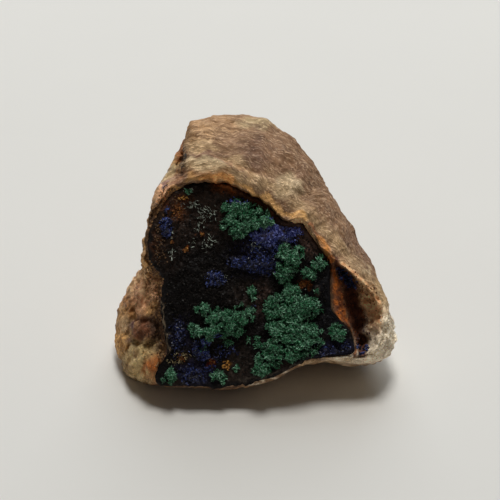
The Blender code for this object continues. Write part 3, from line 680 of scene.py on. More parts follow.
# %% The whole front
def rock_front(angle, ring):
    """The front by angle and ring: 0 to 1 over the bed, to 2 at the lip and to 3 at the rim."""
    foot, crest, rim = bed_radius(angle), lip_radius(angle), rim_radius(angle)
    turn = np.clip(ring - 2.0, 0.0, 1.0)
    outward = mix(turn, np.sin(turn * math.pi / 2.0), 0.5)
    downward = mix(turn, 1.0 - np.cos(turn * math.pi / 2.0), 0.5)
    radius = foot * np.clip(ring, 0.0, 1.0)
    radius = radius + (crest - foot) * np.clip(ring - 1.0, 0.0, 1.0) + (rim - crest) * outward
    u, v = on_face(radius, angle)
    shoulder = mix(LIP_LINE.depth(angle), RIM_LINE.depth(angle), downward)
    shoulder = shoulder + front_features(u, v) * smooth(turn / 0.12)
    return np.stack([u, v, np.where(ring > 2.0, shoulder, inner_front(u, v))], axis=-1)


print("a point of the rim:", rock_front(np.array([0.0]), np.array([3.0])).round(2))

# %% [markdown]
# ## The back of the lump
# Nobody sees the back first, but a collector turns the piece over. It is bounded by a dozen chips,
# each a plane at some distance from the heart of the lump. A high power mean of those distances
# gives flat faces with slightly worn edges, and the rim's own outline fades into them.

# %% Reach of the back
CHIPS = [
    ((0.0, 0.0, -1.0), 16.4), ((0.05, 0.98, 0.12), 16.6), ((-0.86, 0.51, 0.02), 16.4),
    ((0.80, 0.58, 0.10), 17.0), ((0.25, 0.75, -0.62), 17.5), ((-0.72, 0.10, -0.69), 19.5),
    ((0.72, 0.05, -0.69), 19.0), ((-0.25, 0.62, 0.74), 25.0), ((0.35, 0.55, 0.75), 24.5),
    ((-0.35, 0.85, -0.25), 17.4), ((0.0, -0.80, -0.60), 14.5), ((0.97, -0.20, -0.10), 24.5),
]
CHIP_SHARPNESS = 34.0
RIM_FADE = 0.38


def chip_reach(direction):
    """Distance from the heart: minus the power mean, over the chips, of cosine over distance."""
    rise, reach = math.cos(FACE_TILT), math.sin(FACE_TILT)
    total = np.zeros(direction.shape[:-1])
    for (x, y, z), distance in CHIPS:
        normal = np.array([x, y * reach + z * rise, -y * rise + z * reach])
        normal /= np.linalg.norm(normal)
        total += (np.maximum(direction @ normal, 0.0) / distance) ** CHIP_SHARPNESS
    return total ** (-1.0 / CHIP_SHARPNESS)


def heading_at(polar, angle):
    """The unit vector at an angle from w and an angle round it."""
    flat = np.sin(polar)
    return np.stack([flat * np.cos(angle), flat * np.sin(angle), np.cos(polar)], axis=-1)


def rock_back(angle, share):
    """The back by angle and share: 0 at the rim, 1 at the pole behind the heart."""
    rim = rock_front(angle, np.full_like(angle, 3.0))
    across = np.hypot(rim[..., 0] - FACE_CENTRE[0], rim[..., 1] - FACE_CENTRE[1])
    rim_polar = np.arctan2(across, rim[..., 2] + HEART_DEPTH)
    rim_reach = np.hypot(across, rim[..., 2] + HEART_DEPTH)
    direction = heading_at(mix(rim_polar, math.pi, share), angle)
    excess = rim_reach - chip_reach(heading_at(rim_polar, angle))
    reach = chip_reach(direction) + excess * (1.0 - smooth(share / RIM_FADE))
    return direction * reach[..., None] + np.array([*FACE_CENTRE, -HEART_DEPTH])


print("from the heart straight back (mm):", chip_reach(np.array([0.0, 0.0, -1.0])))

# %% [markdown]
# ## Grids into meshes
# Every large surface below is a grid of rings and spokes that closes on itself, with a point at
# each pole. Index arithmetic on whole arrays gives its triangles, and foreach_set hands both to
# Blender in one go, which is far quicker than adding faces one by one.

# %% Mesh helpers
def ring_faces(rings, spokes):
    """Triangles over a closed grid whose first and last points are its poles."""
    index = 1 + np.arange(rings * spokes).reshape(rings, spokes)
    after = np.roll(index, -1, axis=1)
    a, b, c, d = index[:-1].ravel(), index[1:].ravel(), after[1:].ravel(), after[:-1].ravel()
    last = rings * spokes + 1
    first_fan = np.stack([np.zeros(spokes, int), index[0], after[0]], axis=1)
    last_fan = np.stack([np.full(spokes, last), after[-1], index[-1]], axis=1)
    return np.concatenate([first_fan, np.stack([a, b, c], 1), np.stack([a, c, d], 1), last_fan])


def grid_normals(points):
    """Cross product of the grid's two differences, made unit length."""
    around = np.roll(points, -1, axis=1) - np.roll(points, 1, axis=1)
    outward = np.gradient(points, axis=0)
    normals = np.cross(outward, around)
    return normals / np.maximum(np.linalg.norm(normals, axis=2, keepdims=True), 1e-9)


def add_piece(name, points_mm, faces, material, replaced=(), soft=True, values=None):
    """A piece from world points in millimetres and triangles, with named values on its points."""
    mesh = bpy.data.meshes.new(name)
    mesh.vertices.add(len(points_mm))
    mesh.vertices.foreach_set("co", (np.asarray(points_mm) * MM).astype(np.float32).ravel())
    mesh.loops.add(faces.size)
    mesh.loops.foreach_set("vertex_index", faces.astype(np.int32).ravel())
    mesh.polygons.add(len(faces))
    mesh.polygons.foreach_set("loop_start", np.arange(0, faces.size, 3, dtype=np.int32))
    mesh.update(calc_edges=True)
    mesh.polygons.foreach_set("use_smooth", np.full(len(faces), soft))
    for key, value in (values or {}).items():
        value = np.asarray(value, np.float32)
        kind, field = ("FLOAT_VECTOR", "vector") if value.ndim == 2 else ("FLOAT", "value")
        mesh.attributes.new(key, kind, "POINT").data.foreach_set(field, value.ravel())
    mesh.materials.append(material)
    item = bpy.data.objects.new(name, mesh)
    bpy.context.scene.collection.objects.link(item)
    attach(item, "root")
    if replaced:
        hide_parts(*replaced)
    print(f"{name}: {len(faces)} triangles")


print("triangles over 3 rings of 5 spokes:", len(ring_faces(3, 5)))

# %% [markdown]
# ## Tones of the rock
# The rock is a felt of silky brown and mauve fibres with cream streaks, rust where water ran, and
# glassy grey quartz at its lower corners. A painter would block in the big tones first and the
# grain after, so that is what happens here: a few named tones are laid as soft ovals and bands,
# and the material breaks them up later. One flat colour with noise would lose where things lie.

# %% Named tones
def tone(red, green, blue):
    """A colour given in screen values from 0 to 255, as the linear values that shaders use."""
    value = np.array([red, green, blue]) / 255.0
    return np.where(value <= 0.04045, value / 12.92, ((value + 0.055) / 1.055) ** 2.4)


ROCK_TONES = {
    "brown": tone(142, 116, 90), "mauve": tone(127, 99, 76), "dark_mauve": tone(108, 80, 63),
    "cream": tone(184, 162, 128), "pale": tone(200, 186, 160), "green_cream": tone(180, 170, 136),
    "tan": tone(172, 140, 104), "gold": tone(230, 186, 124),
    "red_brown": tone(120, 75, 52), "umber": tone(74, 52, 40), "dark_hollow": tone(76, 36, 20),
    "quartz": tone(255, 250, 236), "grey_brown": tone(176, 148, 118), "plate_orange": tone(204, 118, 46),
    "bulge": tone(234, 206, 168), "wax": tone(212, 194, 150), "pink": tone(244, 194, 158),
    "yellow_grey": tone(230, 210, 156), "amber": tone(214, 148, 76), "purple": tone(104, 86, 110),
    "orange_brown": tone(160, 96, 50), "rust_orange": tone(180, 98, 22),
    "lit_lip_amber": tone(255, 190, 120), "black_brown": tone(22, 10, 6), "lit_recess": tone(250, 212, 168),
    "wall_tan": tone(255, 224, 180), "wall_brown": tone(208, 156, 112),
}
ROCK_GAIN = np.array([1.38, 1.28, 1.15])  # makes up for what the grain and the gaps take away
print("rock tones:", len(ROCK_TONES))

# %% [markdown]
# Most tones are laid where the rock has them: cream along the lip, gold and pink beside the crust's left
# edge, quartz at the lower right. Some dark tones in creases, pits, a crevice and along the bottom edge are
# painted shade, and a few pale ones on shaded walls and on a ridge are painted light. Most places are ovals,
# and long ones are bands along a line.

# %% Places of the rock's tones
# Ovals as (tone, centre u, centre v, half width, half height, strength), laid one over another.
ROCK_OVALS = [
    ("tan", -5.2, 23.0, 5.5, 2.6, 0.5), ("tan", -9.6, 21.4, 3.6, 3.4, 0.6),
    ("green_cream", 1.6, 24.0, 3.4, 1.2, 0.8), ("mauve", 2.2, 19.4, 7.5, 4.8, 0.8),
    ("dark_mauve", 0.9, 17.8, 2.6, 3.0, 0.75), ("mauve", 9.6, 15.6, 5.0, 5.0, 0.7),
    ("mauve", 16.5, 6.6, 4.4, 7.0, 0.8), ("dark_mauve", 20.8, -0.6, 3.0, 5.0, 0.6),
    # The thin dark mauve strip along the ledge's crease is painted shade.
    ("cream", -8.6, 19.0, 3.0, 1.2, 0.6), ("dark_mauve", -7.0, 17.6, 3.6, 0.5, 0.45),
    ("cream", -4.4, 15.9, 3.6, 1.5, 0.6), ("pale", -8.6, 16.0, 3.2, 1.5, 0.95),
    ("pale", 7.0, 11.8, 2.6, 2.2, 0.75), ("cream", 24.3, -9.4, 2.8, 3.6, 0.9),
    ("pale", 22.2, -3.8, 0.9, 0.8, 0.6), ("quartz", 24.4, -15.8, 4.4, 4.4, 1.0),
    ("quartz", 21.0, -19.8, 6.0, 1.6, 0.9), ("gold", -13.8, 18.0, 1.1, 2.6, 0.6),
    ("red_brown", -13.4, 13.4, 0.9, 1.6, 0.5), ("wax", -15.8, 14.6, 1.3, 2.3, 0.65),
    ("orange_brown", -13.4, 18.6, 0.9, 2.6, 0.8), ("tan", -16.6, 10.2, 2.0, 2.6, 0.7),
    ("gold", -20.8, -8.0, 1.6, 3.0, 0.6), ("pink", -15.6, 10.6, 2.4, 1.6, 0.8),
    ("gold", -14.0, 10.9, 1.3, 0.8, 0.9), ("pink", -16.8, 9.4, 0.9, 1.0, 0.7),
    ("grey_brown", -18.4, 8.0, 1.4, 3.4, 0.8), ("red_brown", -15.6, 12.0, 1.4, 0.8, 0.6),
    ("amber", -16.6, 8.6, 0.9, 1.3, 0.6), ("purple", -16.1, 12.2, 0.8, 0.7, 0.6),
    # Umber down the left margin is painted shadow.
    ("umber", -19.2, 1.6, 1.0, 5.2, 0.35), ("grey_brown", -19.9, 4.0, 0.7, 7.0, 0.8),
    ("gold", -18.6, 2.6, 0.7, 1.6, 0.6), ("bulge", -22.6, -6.6, 2.6, 4.4, 0.95),
    ("gold", -19.4, -5.2, 0.9, 4.2, 0.8), ("pink", -17.6, -8.2, 2.4, 3.0, 0.8),
    ("grey_brown", -18.4, -8.2, 1.0, 2.0, 0.5), ("gold", -19.0, -11.2, 2.4, 1.2, 0.7),
    ("gold", -23.2, -12.0, 2.0, 3.2, 0.6), ("orange_brown", -23.4, -9.6, 1.0, 2.2, 0.6),
    ("bulge", -23.6, -14.4, 1.4, 1.4, 0.8), ("pink", -20.6, -8.8, 1.7, 3.6, 0.85),
    # Umber in the crevice beside the crust's left edge and at its lower end is painted shade.
    ("red_brown", -19.9, -15.2, 2.4, 2.2, 0.95), ("umber", -16.9, -13.6, 1.0, 2.8, 0.85),
    ("umber", -17.4, -17.0, 1.4, 1.0, 0.7), ("yellow_grey", -20.4, -20.6, 3.6, 3.4, 0.85),
    ("wax", -22.2, -19.2, 1.4, 1.2, 0.7), ("gold", -24.8, -17.6, 1.6, 2.4, 1.0),
    ("rust_orange", -18.1, -21.9, 1.6, 2.4, 0.9), ("umber", -17.4, -23.2, 0.7, 0.9, 0.6),
    ("purple", -22.3, -14.8, 0.6, 1.0, 0.9), ("yellow_grey", -21.2, -23.6, 3.0, 1.2, 0.5),
]
# Bands as (tone, line, half width, strength), laid after the ovals.
ROCK_BANDS = [
    ("cream", [(-11.6, 15.8), (-2.6, 14.0), (6.1, 11.2), (9.0, 8.0), (12.2, 5.2), (16.0, 1.3),
               (19.8, -3.0), (23.4, -7.6), (25.2, -11.0)], 2.3, 0.55),
    ("gold", [(-11.4, 13.2), (-7.0, 13.5), (-3.4, 13.0), (0.0, 11.2), (4.4, 8.6)], 0.9, 0.6),
    # Painted light: the lip's shaded underside gets its own amber pushed bright, as if lit.
    ("lit_lip_amber", [(-8.8, 12.9), (-6.4, 13.1), (-4.4, 13.4), (-3.4, 12.8)], 0.9, 1.3),
    ("gold", [(-1.6, 11.8), (1.6, 10.2), (4.0, 8.4), (5.7, 6.5), (8.0, 6.4), (10.0, 6.0)], 0.8, 0.9),
    ("orange_brown", [(10.6, 4.8), (12.2, 2.4)], 0.5, 0.7),
    ("amber", [(12.4, 2.0), (14.6, -0.8), (16.0, -2.2)], 0.8, 0.9),
    # Red-brown along the fold on the left flank is painted shade in its groove.
    ("red_brown", [(-20.4, -3.0), (-21.3, -6.0), (-21.9, -11.9), (-22.5, -14.5)], 0.32, 0.6),
    # Red-brown along the ledge's crease: painted shade.
    ("red_brown", [(-9.6, 17.6), (-7.2, 17.8), (-4.8, 17.0), (-3.0, 15.6)], 0.4, 0.6),
    # The pale line along the gold ridge at the left is a painted highlight.
    ("bulge", [(-18.9, -3.6), (-19.8, -6.8), (-20.4, -9.2)], 0.45, 0.8),
    ("gold", [(-18.5, 5.6), (-19.0, 2.0), (-19.2, -1.6), (-18.7, -4.0)], 0.35, 0.8),
    # Umber along the bottom edge is painted shade, for the underside turned away from the light.
    ("umber", [(-14.4, -25.3), (-9.0, -25.5), (-4.4, -25.5), (-2.4, -25.2)], 0.8, 1.0),
    ("quartz", [(-1.6, -24.9), (4.2, -24.0), (10.2, -21.5)], 0.6, 0.9),
    # Dark mauve along the ledge's crease: painted shade.
    ("dark_mauve", [(-11.4, 17.6), (-7.2, 17.8), (-4.0, 15.7), (-0.4, 14.2)], 0.5, 0.8),
    ("cream", [(10.2, -21.3), (15.0, -20.9), (19.0, -20.4)], 0.9, 0.8),
    # Black-brown in the pit at the hood's left corner is painted shade.
    ("black_brown", [(-12.4, 18.3), (-12.8, 16.8), (-13.6, 15.8)], 0.8, 1.6),
]
print("ovals:", len(ROCK_OVALS), "bands:", len(ROCK_BANDS))


def layered(base, u, v, tones, ovals, bands, strength=1.0):
    """Tones laid one over another: each mixes over what is there by its own soft mask."""
    colour = np.broadcast_to(base, (*u.shape, 3)).copy()
    for name, cu, cv, half_u, half_v, share in ovals:
        mask = strength * share * spot(u, v, (cu, cv), half_u, half_v)
        colour = mix(colour, tones[name], mask[..., None])
    for name, line, half_width, share in bands:
        mask = np.minimum(strength * share * band(u, v, line, half_width), 1.0)
        colour = mix(colour, tones[name], mask[..., None])
    return colour


# %% [markdown]
# ## The rock
# The rock is one closed surface. Its rings crowd together at the lip and its spokes run all the way
# to the pole at the back. Two kinds of relief lie on it: the chips of the solid, and on top of those
# a fibrous grain that runs along the lip. The grain follows the surface, so each point carries its
# own place in the fibres: round the face slowly and away from the lip quickly.

# %% Points of the rock
ROCK_SPOKES = 620
FIBRE_TURN = 5.2
BACK_RUN = 34.0  # mm along the back from the rim to the pole, near enough for fibres
# Where the rock is broken rather than silky, as (centre u, centre v, half width, half height, strength)
CRAGGY_OVALS = [
    (-20.5, -9.0, 5.0, 8.0, 0.8), (-21.0, -19.0, 5.0, 7.0, 0.8), (-18.5, 5.0, 2.6, 8.0, 0.35),
    (24.5, -15.0, 5.0, 5.5, 0.8), (22.0, -8.0, 3.0, 4.0, 0.5), (-13.2, 16.2, 1.2, 2.6, 0.6),
]
GLASSY_OVALS = [
    (24.3, -15.6, 5.0, 4.8, 1.0), (21.0, -19.8, 6.0, 1.8, 1.0), (-20.6, -20.4, 3.6, 3.6, 0.6),
    (-15.8, 14.2, 1.8, 2.6, 0.8), (-22.8, -7.0, 2.6, 4.6, 0.7),
]
RUST_OVALS = [
    (-14.0, 14.0, 3.0, 4.0, 0.6), (-18.0, 8.0, 2.5, 4.0, 0.7), (-21.0, -8.0, 4.0, 6.0, 0.8),
    (-23.0, -18.0, 3.5, 5.0, 0.8), (-5.0, 14.0, 6.0, 1.6, 0.8), (24.0, -9.0, 3.0, 5.0, 0.35),
]


def rock_grid():
    """Ring values over the front and shares over the back, at an even fine spacing."""
    bed_rings = np.array([0.05, 0.5, 0.9])
    wall = np.linspace(1.0, 2.0, 22)[:-1]
    shoulder = np.linspace(2.0, 3.0, 58)
    back = np.linspace(0.0, 1.0, 78)[1:-1]
    return np.concatenate([bed_rings, wall, shoulder]), back


def fibre_place(angle, ring, points):
    """Where a point lies in the fibres: a slow circle round the face, and mm away from the lip,
    swayed by waves so that no fibre runs straight."""
    width = rim_radius(angle) - lip_radius(angle)
    away = np.where(ring < 3.0, (ring - 2.0) * width, width + (ring - 3.0) * BACK_RUN)
    away = away + 0.55 * waves(points, 10.0, 14, seed=35) + 0.10 * waves(points, 3.2, 18, seed=36)
    return np.stack([FIBRE_TURN * np.cos(angle), FIBRE_TURN * np.sin(angle), away], axis=-1)


def cut_level(points):
    """Pulls points below the floor to it along their ray from the heart, so the base is flat."""
    heart = to_world((*FACE_CENTRE, -HEART_DEPTH))
    share = np.where(points[..., 2] < 0.0, heart[2] / np.maximum(heart[2] - points[..., 2], 1e-6), 1.0)
    return heart + (points - heart) * share[..., None]


def rock_surface():
    """Rock points with the solid's own relief, then fibres, knocks and grains along the normals."""
    angle = np.arange(ROCK_SPOKES) * TAU / ROCK_SPOKES
    front, back = rock_grid()
    points = np.concatenate([rock_front(*np.meshgrid(angle, front)), rock_back(*np.meshgrid(angle, back))])
    ring = np.concatenate([front, 3.0 + back])[:, None] + np.zeros(ROCK_SPOKES)
    chips = facets(points, 17.0, 7, seed=3) * mix(0.15, 1.0, smooth((ring - 3.05) / 0.25))
    knocks = facets(points, 6.5, 9, seed=4) * mix(0.22, 0.45, smooth((ring - 3.0) / 0.3))
    relief = (chips + knocks) * smooth((ring - 1.9) / 0.4)
    fibre = fibre_place(np.broadcast_to(angle, ring.shape), ring, points)
    grain = 0.12 * waves(fibre, 1.4, 40, seed=31) + 0.07 * waves(fibre, 0.7, 40, seed=32)
    rough = 0.06 * facets(points, 2.3, 18, seed=33) + 0.045 * facets(points, 1.0, 24, seed=34)
    craggy = spots(points[..., 0], points[..., 1], CRAGGY_OVALS) * (ring < 3.3)
    grain = grain * smooth((ring - 1.9) / 0.3) * (1.0 - 0.6 * craggy)
    rough = rough * (1.0 + 4.5 * craggy)
    relief = relief + (grain + rough) * smooth((ring - 1.05) / 0.15)
    return points + grid_normals(points) * relief[..., None], ring, fibre


ROCK_POINTS, ROCK_RING, ROCK_FIBRE = rock_surface()
print("rock grid:", ROCK_POINTS.shape[:2])

# %% [markdown]
# ## Finish of the rock
# The fibres are noise stretched along the lip: light threads over a darker ground, with the threads also
# standing a little proud. Tiny flat grains are glossier, and here and there they are painted lighter as
# glints.

# %% Fibre group
def make_fibre_group():
    """Noise on the fibre place: Gaps are its troughs, Strands are the peaks of a second noise that
    leans across the first, and Bands are a broader size."""
    group, given, result = new_group("fibres", {"Scale": 1.0}, ["Strands", "Gaps", "Bands"])
    leaning = node(group, "ShaderNodeMapping", {"Vector": given["Vector"], "Rotation": (0.22, -0.16, 0.0)})
    for label, vector, finer, detail, rough, twist, low, high in (
        ("Gaps", given["Vector"], 3.9, 3.0, 0.62, 0.12, 0.52, 0.34),
        ("Strands", leaning.outputs["Vector"], 4.6, 2.0, 0.6, 0.12, 0.50, 0.70),
        ("Bands", given["Vector"], 1.5, 4.0, 0.6, 0.3, 0.38, 0.62),
    ):
        noise = node(group, "ShaderNodeTexNoise", {
            "Vector": vector, "Scale": times(group, given["Scale"], finer), "Detail": detail,
            "Roughness": rough, "Distortion": twist,
        })
        stretch = node(group, "ShaderNodeMapRange", {
            "Value": noise.outputs["Fac"], "From Min": low, "From Max": high,
        })
        plug(group, result[label], stretch.outputs["Result"])
    return group


FIBRE_GROUP = make_fibre_group()
print("fibre group:", len(FIBRE_GROUP.nodes), "nodes")

# %% [markdown]
# The material starts from each point's tone and lays masks over it one by one: pits painted dark as painted
# shade, crumbs, mottle, grains painted lighter as glints, and rust stains. Each mask has a strength and a
# tone, so a loop lays them all.

# %% Rock material
def fibrous_colour(tree, ground, silk, light, dark):
    """The ground darkened in broad bands and in the gaps between fibres, then the pale strands."""
    fibres = node(tree, "ShaderNodeGroup", {
        "Vector": attribute(tree, "fibre", "Vector"), "Scale": 1.0,
    }, node_tree=FIBRE_GROUP)
    bands = times(tree, minus(tree, 1.0, fibres.outputs["Bands"]), 0.62)
    colour = blend(tree, bands, ground, dark)
    gaps = times(tree, fibres.outputs["Gaps"], times(tree, silk, 0.9))
    colour = blend(tree, gaps, colour, dark)
    strands = times(tree, fibres.outputs["Strands"], silk)
    pale = blend(tree, 0.35, light, tuple(tone(226, 212, 188)))
    return blend(tree, times(tree, strands, 0.88), colour, pale), strands


def make_rock_material():
    """Fibres first, then pits painted dark as painted shade and crumbs where the rock is broken, mottle,
    painted glints and rust.
    """
    made, tree, shader = new_material("silky_rock", 0.6, 0.4)
    where = place(tree)
    silk, glassy = attribute(tree, "silk"), attribute(tree, "glassy")
    broken = minus(tree, 1.0, silk)
    ground = attribute(tree, "tone", "Color")
    light, dark = tinted(tree, ground, (2.3, 2.25, 2.15)), tinted(tree, ground, (0.34, 0.28, 0.24))
    colour, strands = fibrous_colour(tree, ground, silk, light, dark)

    # Painted shade: pits are dark patches with no depth, standing for the shade inside small cavities.
    pits = times(tree, patches(tree, where, 1.3, 0.42, 0.12), plus(tree, 0.25, broken))
    pits = times(tree, pits, minus(tree, 1.0, times(tree, glassy, 0.8)))
    crumbs = times(tree, patches(tree, where, 1.9, 0.36, 0.10), broken)
    mottle = patches(tree, where, 0.22, 0.5, 0.3)
    # Painted glints: chance grain cells are laid lighter in colour below, and are also glossier.
    grain, grain_tone = glints(tree, where, 3.6, 0.08)
    stain = times(tree, patches(tree, where, 0.45, 0.42, 0.16), attribute(tree, "rust"))
    for mask, strength, laid in (
        (pits, 0.75, dark), (crumbs, 0.6, light), (mottle, 0.2, light), (grain, 0.5, light),
        (stain, 0.8, tuple(tone(156, 96, 34))),
    ):
        colour = blend(tree, times(tree, mask, strength, clamp=True), colour, laid)

    roughness = minus(tree, 0.72, times(tree, grain, 0.34))
    roughness = minus(tree, roughness, times(tree, glassy, 0.3))
    roughness = minus(tree, roughness, times(tree, strands, 0.12))
    felt = node(tree, "ShaderNodeTexNoise", {"Vector": where, "Scale": 1.9, "Detail": 7.0, "Roughness": 0.7})
    height = times(tree, felt.outputs["Fac"], plus(tree, 0.3, times(tree, broken, 1.6)))
    felt_up = bump(tree, height, 1.0, 0.6, bump(tree, strands, 0.8, 0.12))
    set_surface(tree, shader, colour, roughness, bump(tree, grain_tone, 0.25, 0.08, felt_up))
    return made


ROCK_FINISH = make_rock_material()
print("rock material:", len(ROCK_FINISH.node_tree.nodes), "nodes")

# %% [markdown]
# What the material can't know is where it is on the lump. Five values are worked out for each point
# and stored on the mesh: the blocked-in tone, how silky or broken it is, how rusty, how glassy, and its
# place in the fibres. A painted image would carry the same, but would need an unwrapped map.

# %% Values on the rock's points
def margin_colour(colour, u, v, ring):
    """Rust under the lip, umber as painted shade on the wall beside the crust, and a pale tone as painted
    light on the shaded inner wall at the right.
    """
    on_wall = smooth((1.92 - ring) / 0.12)
    inside = on_wall * smooth((12.5 - u) / 1.0)
    under_lip = inside * smooth((v - 4.0) / 2.0) * smooth((u + 8.0) / 2.0) * smooth((4.0 - u) / 2.0)
    corner = smooth((-12.0 - u) / 1.5) * (1.0 - smooth((v - 8.2) / 1.2))
    # Painted shade: umber darkens the foot of the wall next to the crust.
    beside = inside * (1.0 - smooth((v - 4.0) / 2.0)) + inside * corner
    # Painted light: a pale tone lifts the shade on the inner wall at the right, over its own grey-cream.
    lit_recess = on_wall * smooth((u - 6.6) / 1.0) * smooth((12.6 - u) / 1.0) * smooth(v / 2.0)
    colour = mix(colour, ROCK_TONES["orange_brown"], (0.7 * under_lip)[..., None])
    colour = mix(colour, ROCK_TONES["umber"], np.minimum(0.7 * beside, 0.8)[..., None])
    return mix(colour, ROCK_TONES["lit_recess"], (0.9 * lit_recess)[..., None])


def hollow_colour(colour, points, open_share):
    """Plate, outer wall and bottom of the hollow, each knotted in two tones."""
    u, v = points[..., 0], points[..., 1]
    start, end = line_at(PLATE_START, v), line_at(PLATE_END, v)
    far, top = line_at(HOLLOW_END, v), line_at(WALL_TOP, v)
    plate = smooth((u - start + 0.5) / 0.3) * smooth((end + 0.2 - u) / 0.4) * open_share
    wall = smooth((u - far) / 0.8) * smooth((top + 0.8 - u) / 0.8) * open_share
    deep = smooth((u - end) / 0.4) * smooth((far + 0.4 - u) / 0.8) * open_share
    knot = smooth(0.5 + 0.7 * waves(points, 1.5, 24, seed=46))[..., None]
    plate_tone = mix(ROCK_TONES["red_brown"], ROCK_TONES["plate_orange"], knot)
    wall_tone = mix(ROCK_TONES["wall_brown"], ROCK_TONES["wall_tan"], knot)
    deep_tone = mix(ROCK_TONES["dark_hollow"], ROCK_TONES["red_brown"], 0.7 * knot)
    colour = mix(colour, plate_tone, (0.95 * plate)[..., None])
    colour = mix(colour, wall_tone, (0.9 * wall * smooth((v + 17.0) / 4.0))[..., None])
    return mix(colour, deep_tone, (0.95 * deep)[..., None])


def rock_values(points, ring, fibre):
    """Tone, silkiness, rust, fibre place and glassiness for each point of the rock."""
    u, v = points[..., 0], points[..., 1]
    front_share = 1.0 - smooth((ring - 3.02) / 0.2)
    mottle = smooth(0.5 + 0.45 * waves(points, 9.0, 12, seed=41))
    base = mix(ROCK_TONES["brown"], ROCK_TONES["mauve"], mottle[..., None])
    back_cream = smooth(0.2 + 0.6 * waves(points, 12.0, 12, seed=42)) * (1.0 - front_share)
    base = mix(base, ROCK_TONES["tan"], 0.6 * back_cream[..., None])
    warp_u, warp_v = (0.55 * waves(points, 3.0, 16, seed=seed) for seed in (43, 44))
    colour = layered(base, u + warp_u, v + warp_v, ROCK_TONES, ROCK_OVALS, ROCK_BANDS, front_share)
    colour = margin_colour(colour, u, v, ring)
    colour = hollow_colour(colour, points, in_hollow(u, v) * smooth((ring - 1.0) / 0.1) * front_share)
    silk = smooth((ring - 1.9) / 0.1) * (1.0 - 0.85 * spots(u, v, CRAGGY_OVALS) * front_share)
    silk = silk * mix(0.3, 1.0, front_share)
    back_rust = 0.5 * (1.0 - front_share) * smooth(-0.3 + waves(points, 10.0, 10, seed=45))
    rust = spots(u, v, RUST_OVALS) * front_share + back_rust
    glassy = spots(u, v, GLASSY_OVALS) * front_share
    return {"tone": colour * ROCK_GAIN, "silk": silk, "rust": rust, "fibre": fibre, "glassy": glassy}


ROCK_VALUES = rock_values(ROCK_POINTS, ROCK_RING, ROCK_FIBRE)
print("values:", {name: grid.shape for name, grid in ROCK_VALUES.items()})

# %% [markdown]
# The two poles close the surface, points that would sink under the floor are drawn back to it, and the
# piece takes the place of the plain rock solid.

# %% The rock piece
def with_poles(grid, first, last):
    """The grid's points, or values, in one list with its two poles."""
    flat = grid.reshape(-1, grid.shape[-1]) if grid.ndim == 3 else grid.reshape(-1)
    return np.concatenate([np.asarray(first)[None], flat, np.asarray(last)[None]])


def make_rock():
    """Front and back grids closed by a pole in the bed's middle and one behind the heart."""
    front_pole = (*FACE_CENTRE, float(bed(*np.array(FACE_CENTRE))))
    back_pole = (*FACE_CENTRE, -HEART_DEPTH - float(chip_reach(np.array([0.0, 0.0, -1.0]))))
    points = cut_level(to_world(with_poles(ROCK_POINTS, front_pole, back_pole)))
    values = {key: with_poles(grid, grid[0, 0], grid[-1, 0]) for key, grid in ROCK_VALUES.items()}
    faces = ring_faces(*ROCK_POINTS.shape[:2])
    add_piece("rock", points, faces, ROCK_FINISH, ["host_rock"], values=values)


make_rock()

# %% [markdown]
# ## The dark crust
# The bed is coated with a thin druse: countless tiny near-black crystals. The slab itself is a disc
# that follows the crust's outline, with a lumpy top, a rounded edge and an underside like the bed's.
# The top is a height over the face, so other minerals are set on it by asking for the height at a place.

# %% Height of the crust
def crust_height(u, v):
    """The solid's crust top with druse on it: facets a few tenths of a millimetre high."""
    flat = np.stack([u, v, np.zeros_like(u)], axis=-1)
    druse = 0.12 * facets(flat, 2.2, 14, seed=51) + 0.08 * facets(flat, 0.9, 24, seed=52)
    return crust_top(u, v) + druse


print("top at the face's middle (mm):", crust_height(*FACE_CENTRE).round(2))

# %% [markdown]
# The crust is black only at a glance. It is brown where it is thin, blue-black or indigo where azurite
# lies under it, and rusty by the lip. Those tones are laid as on the rock.

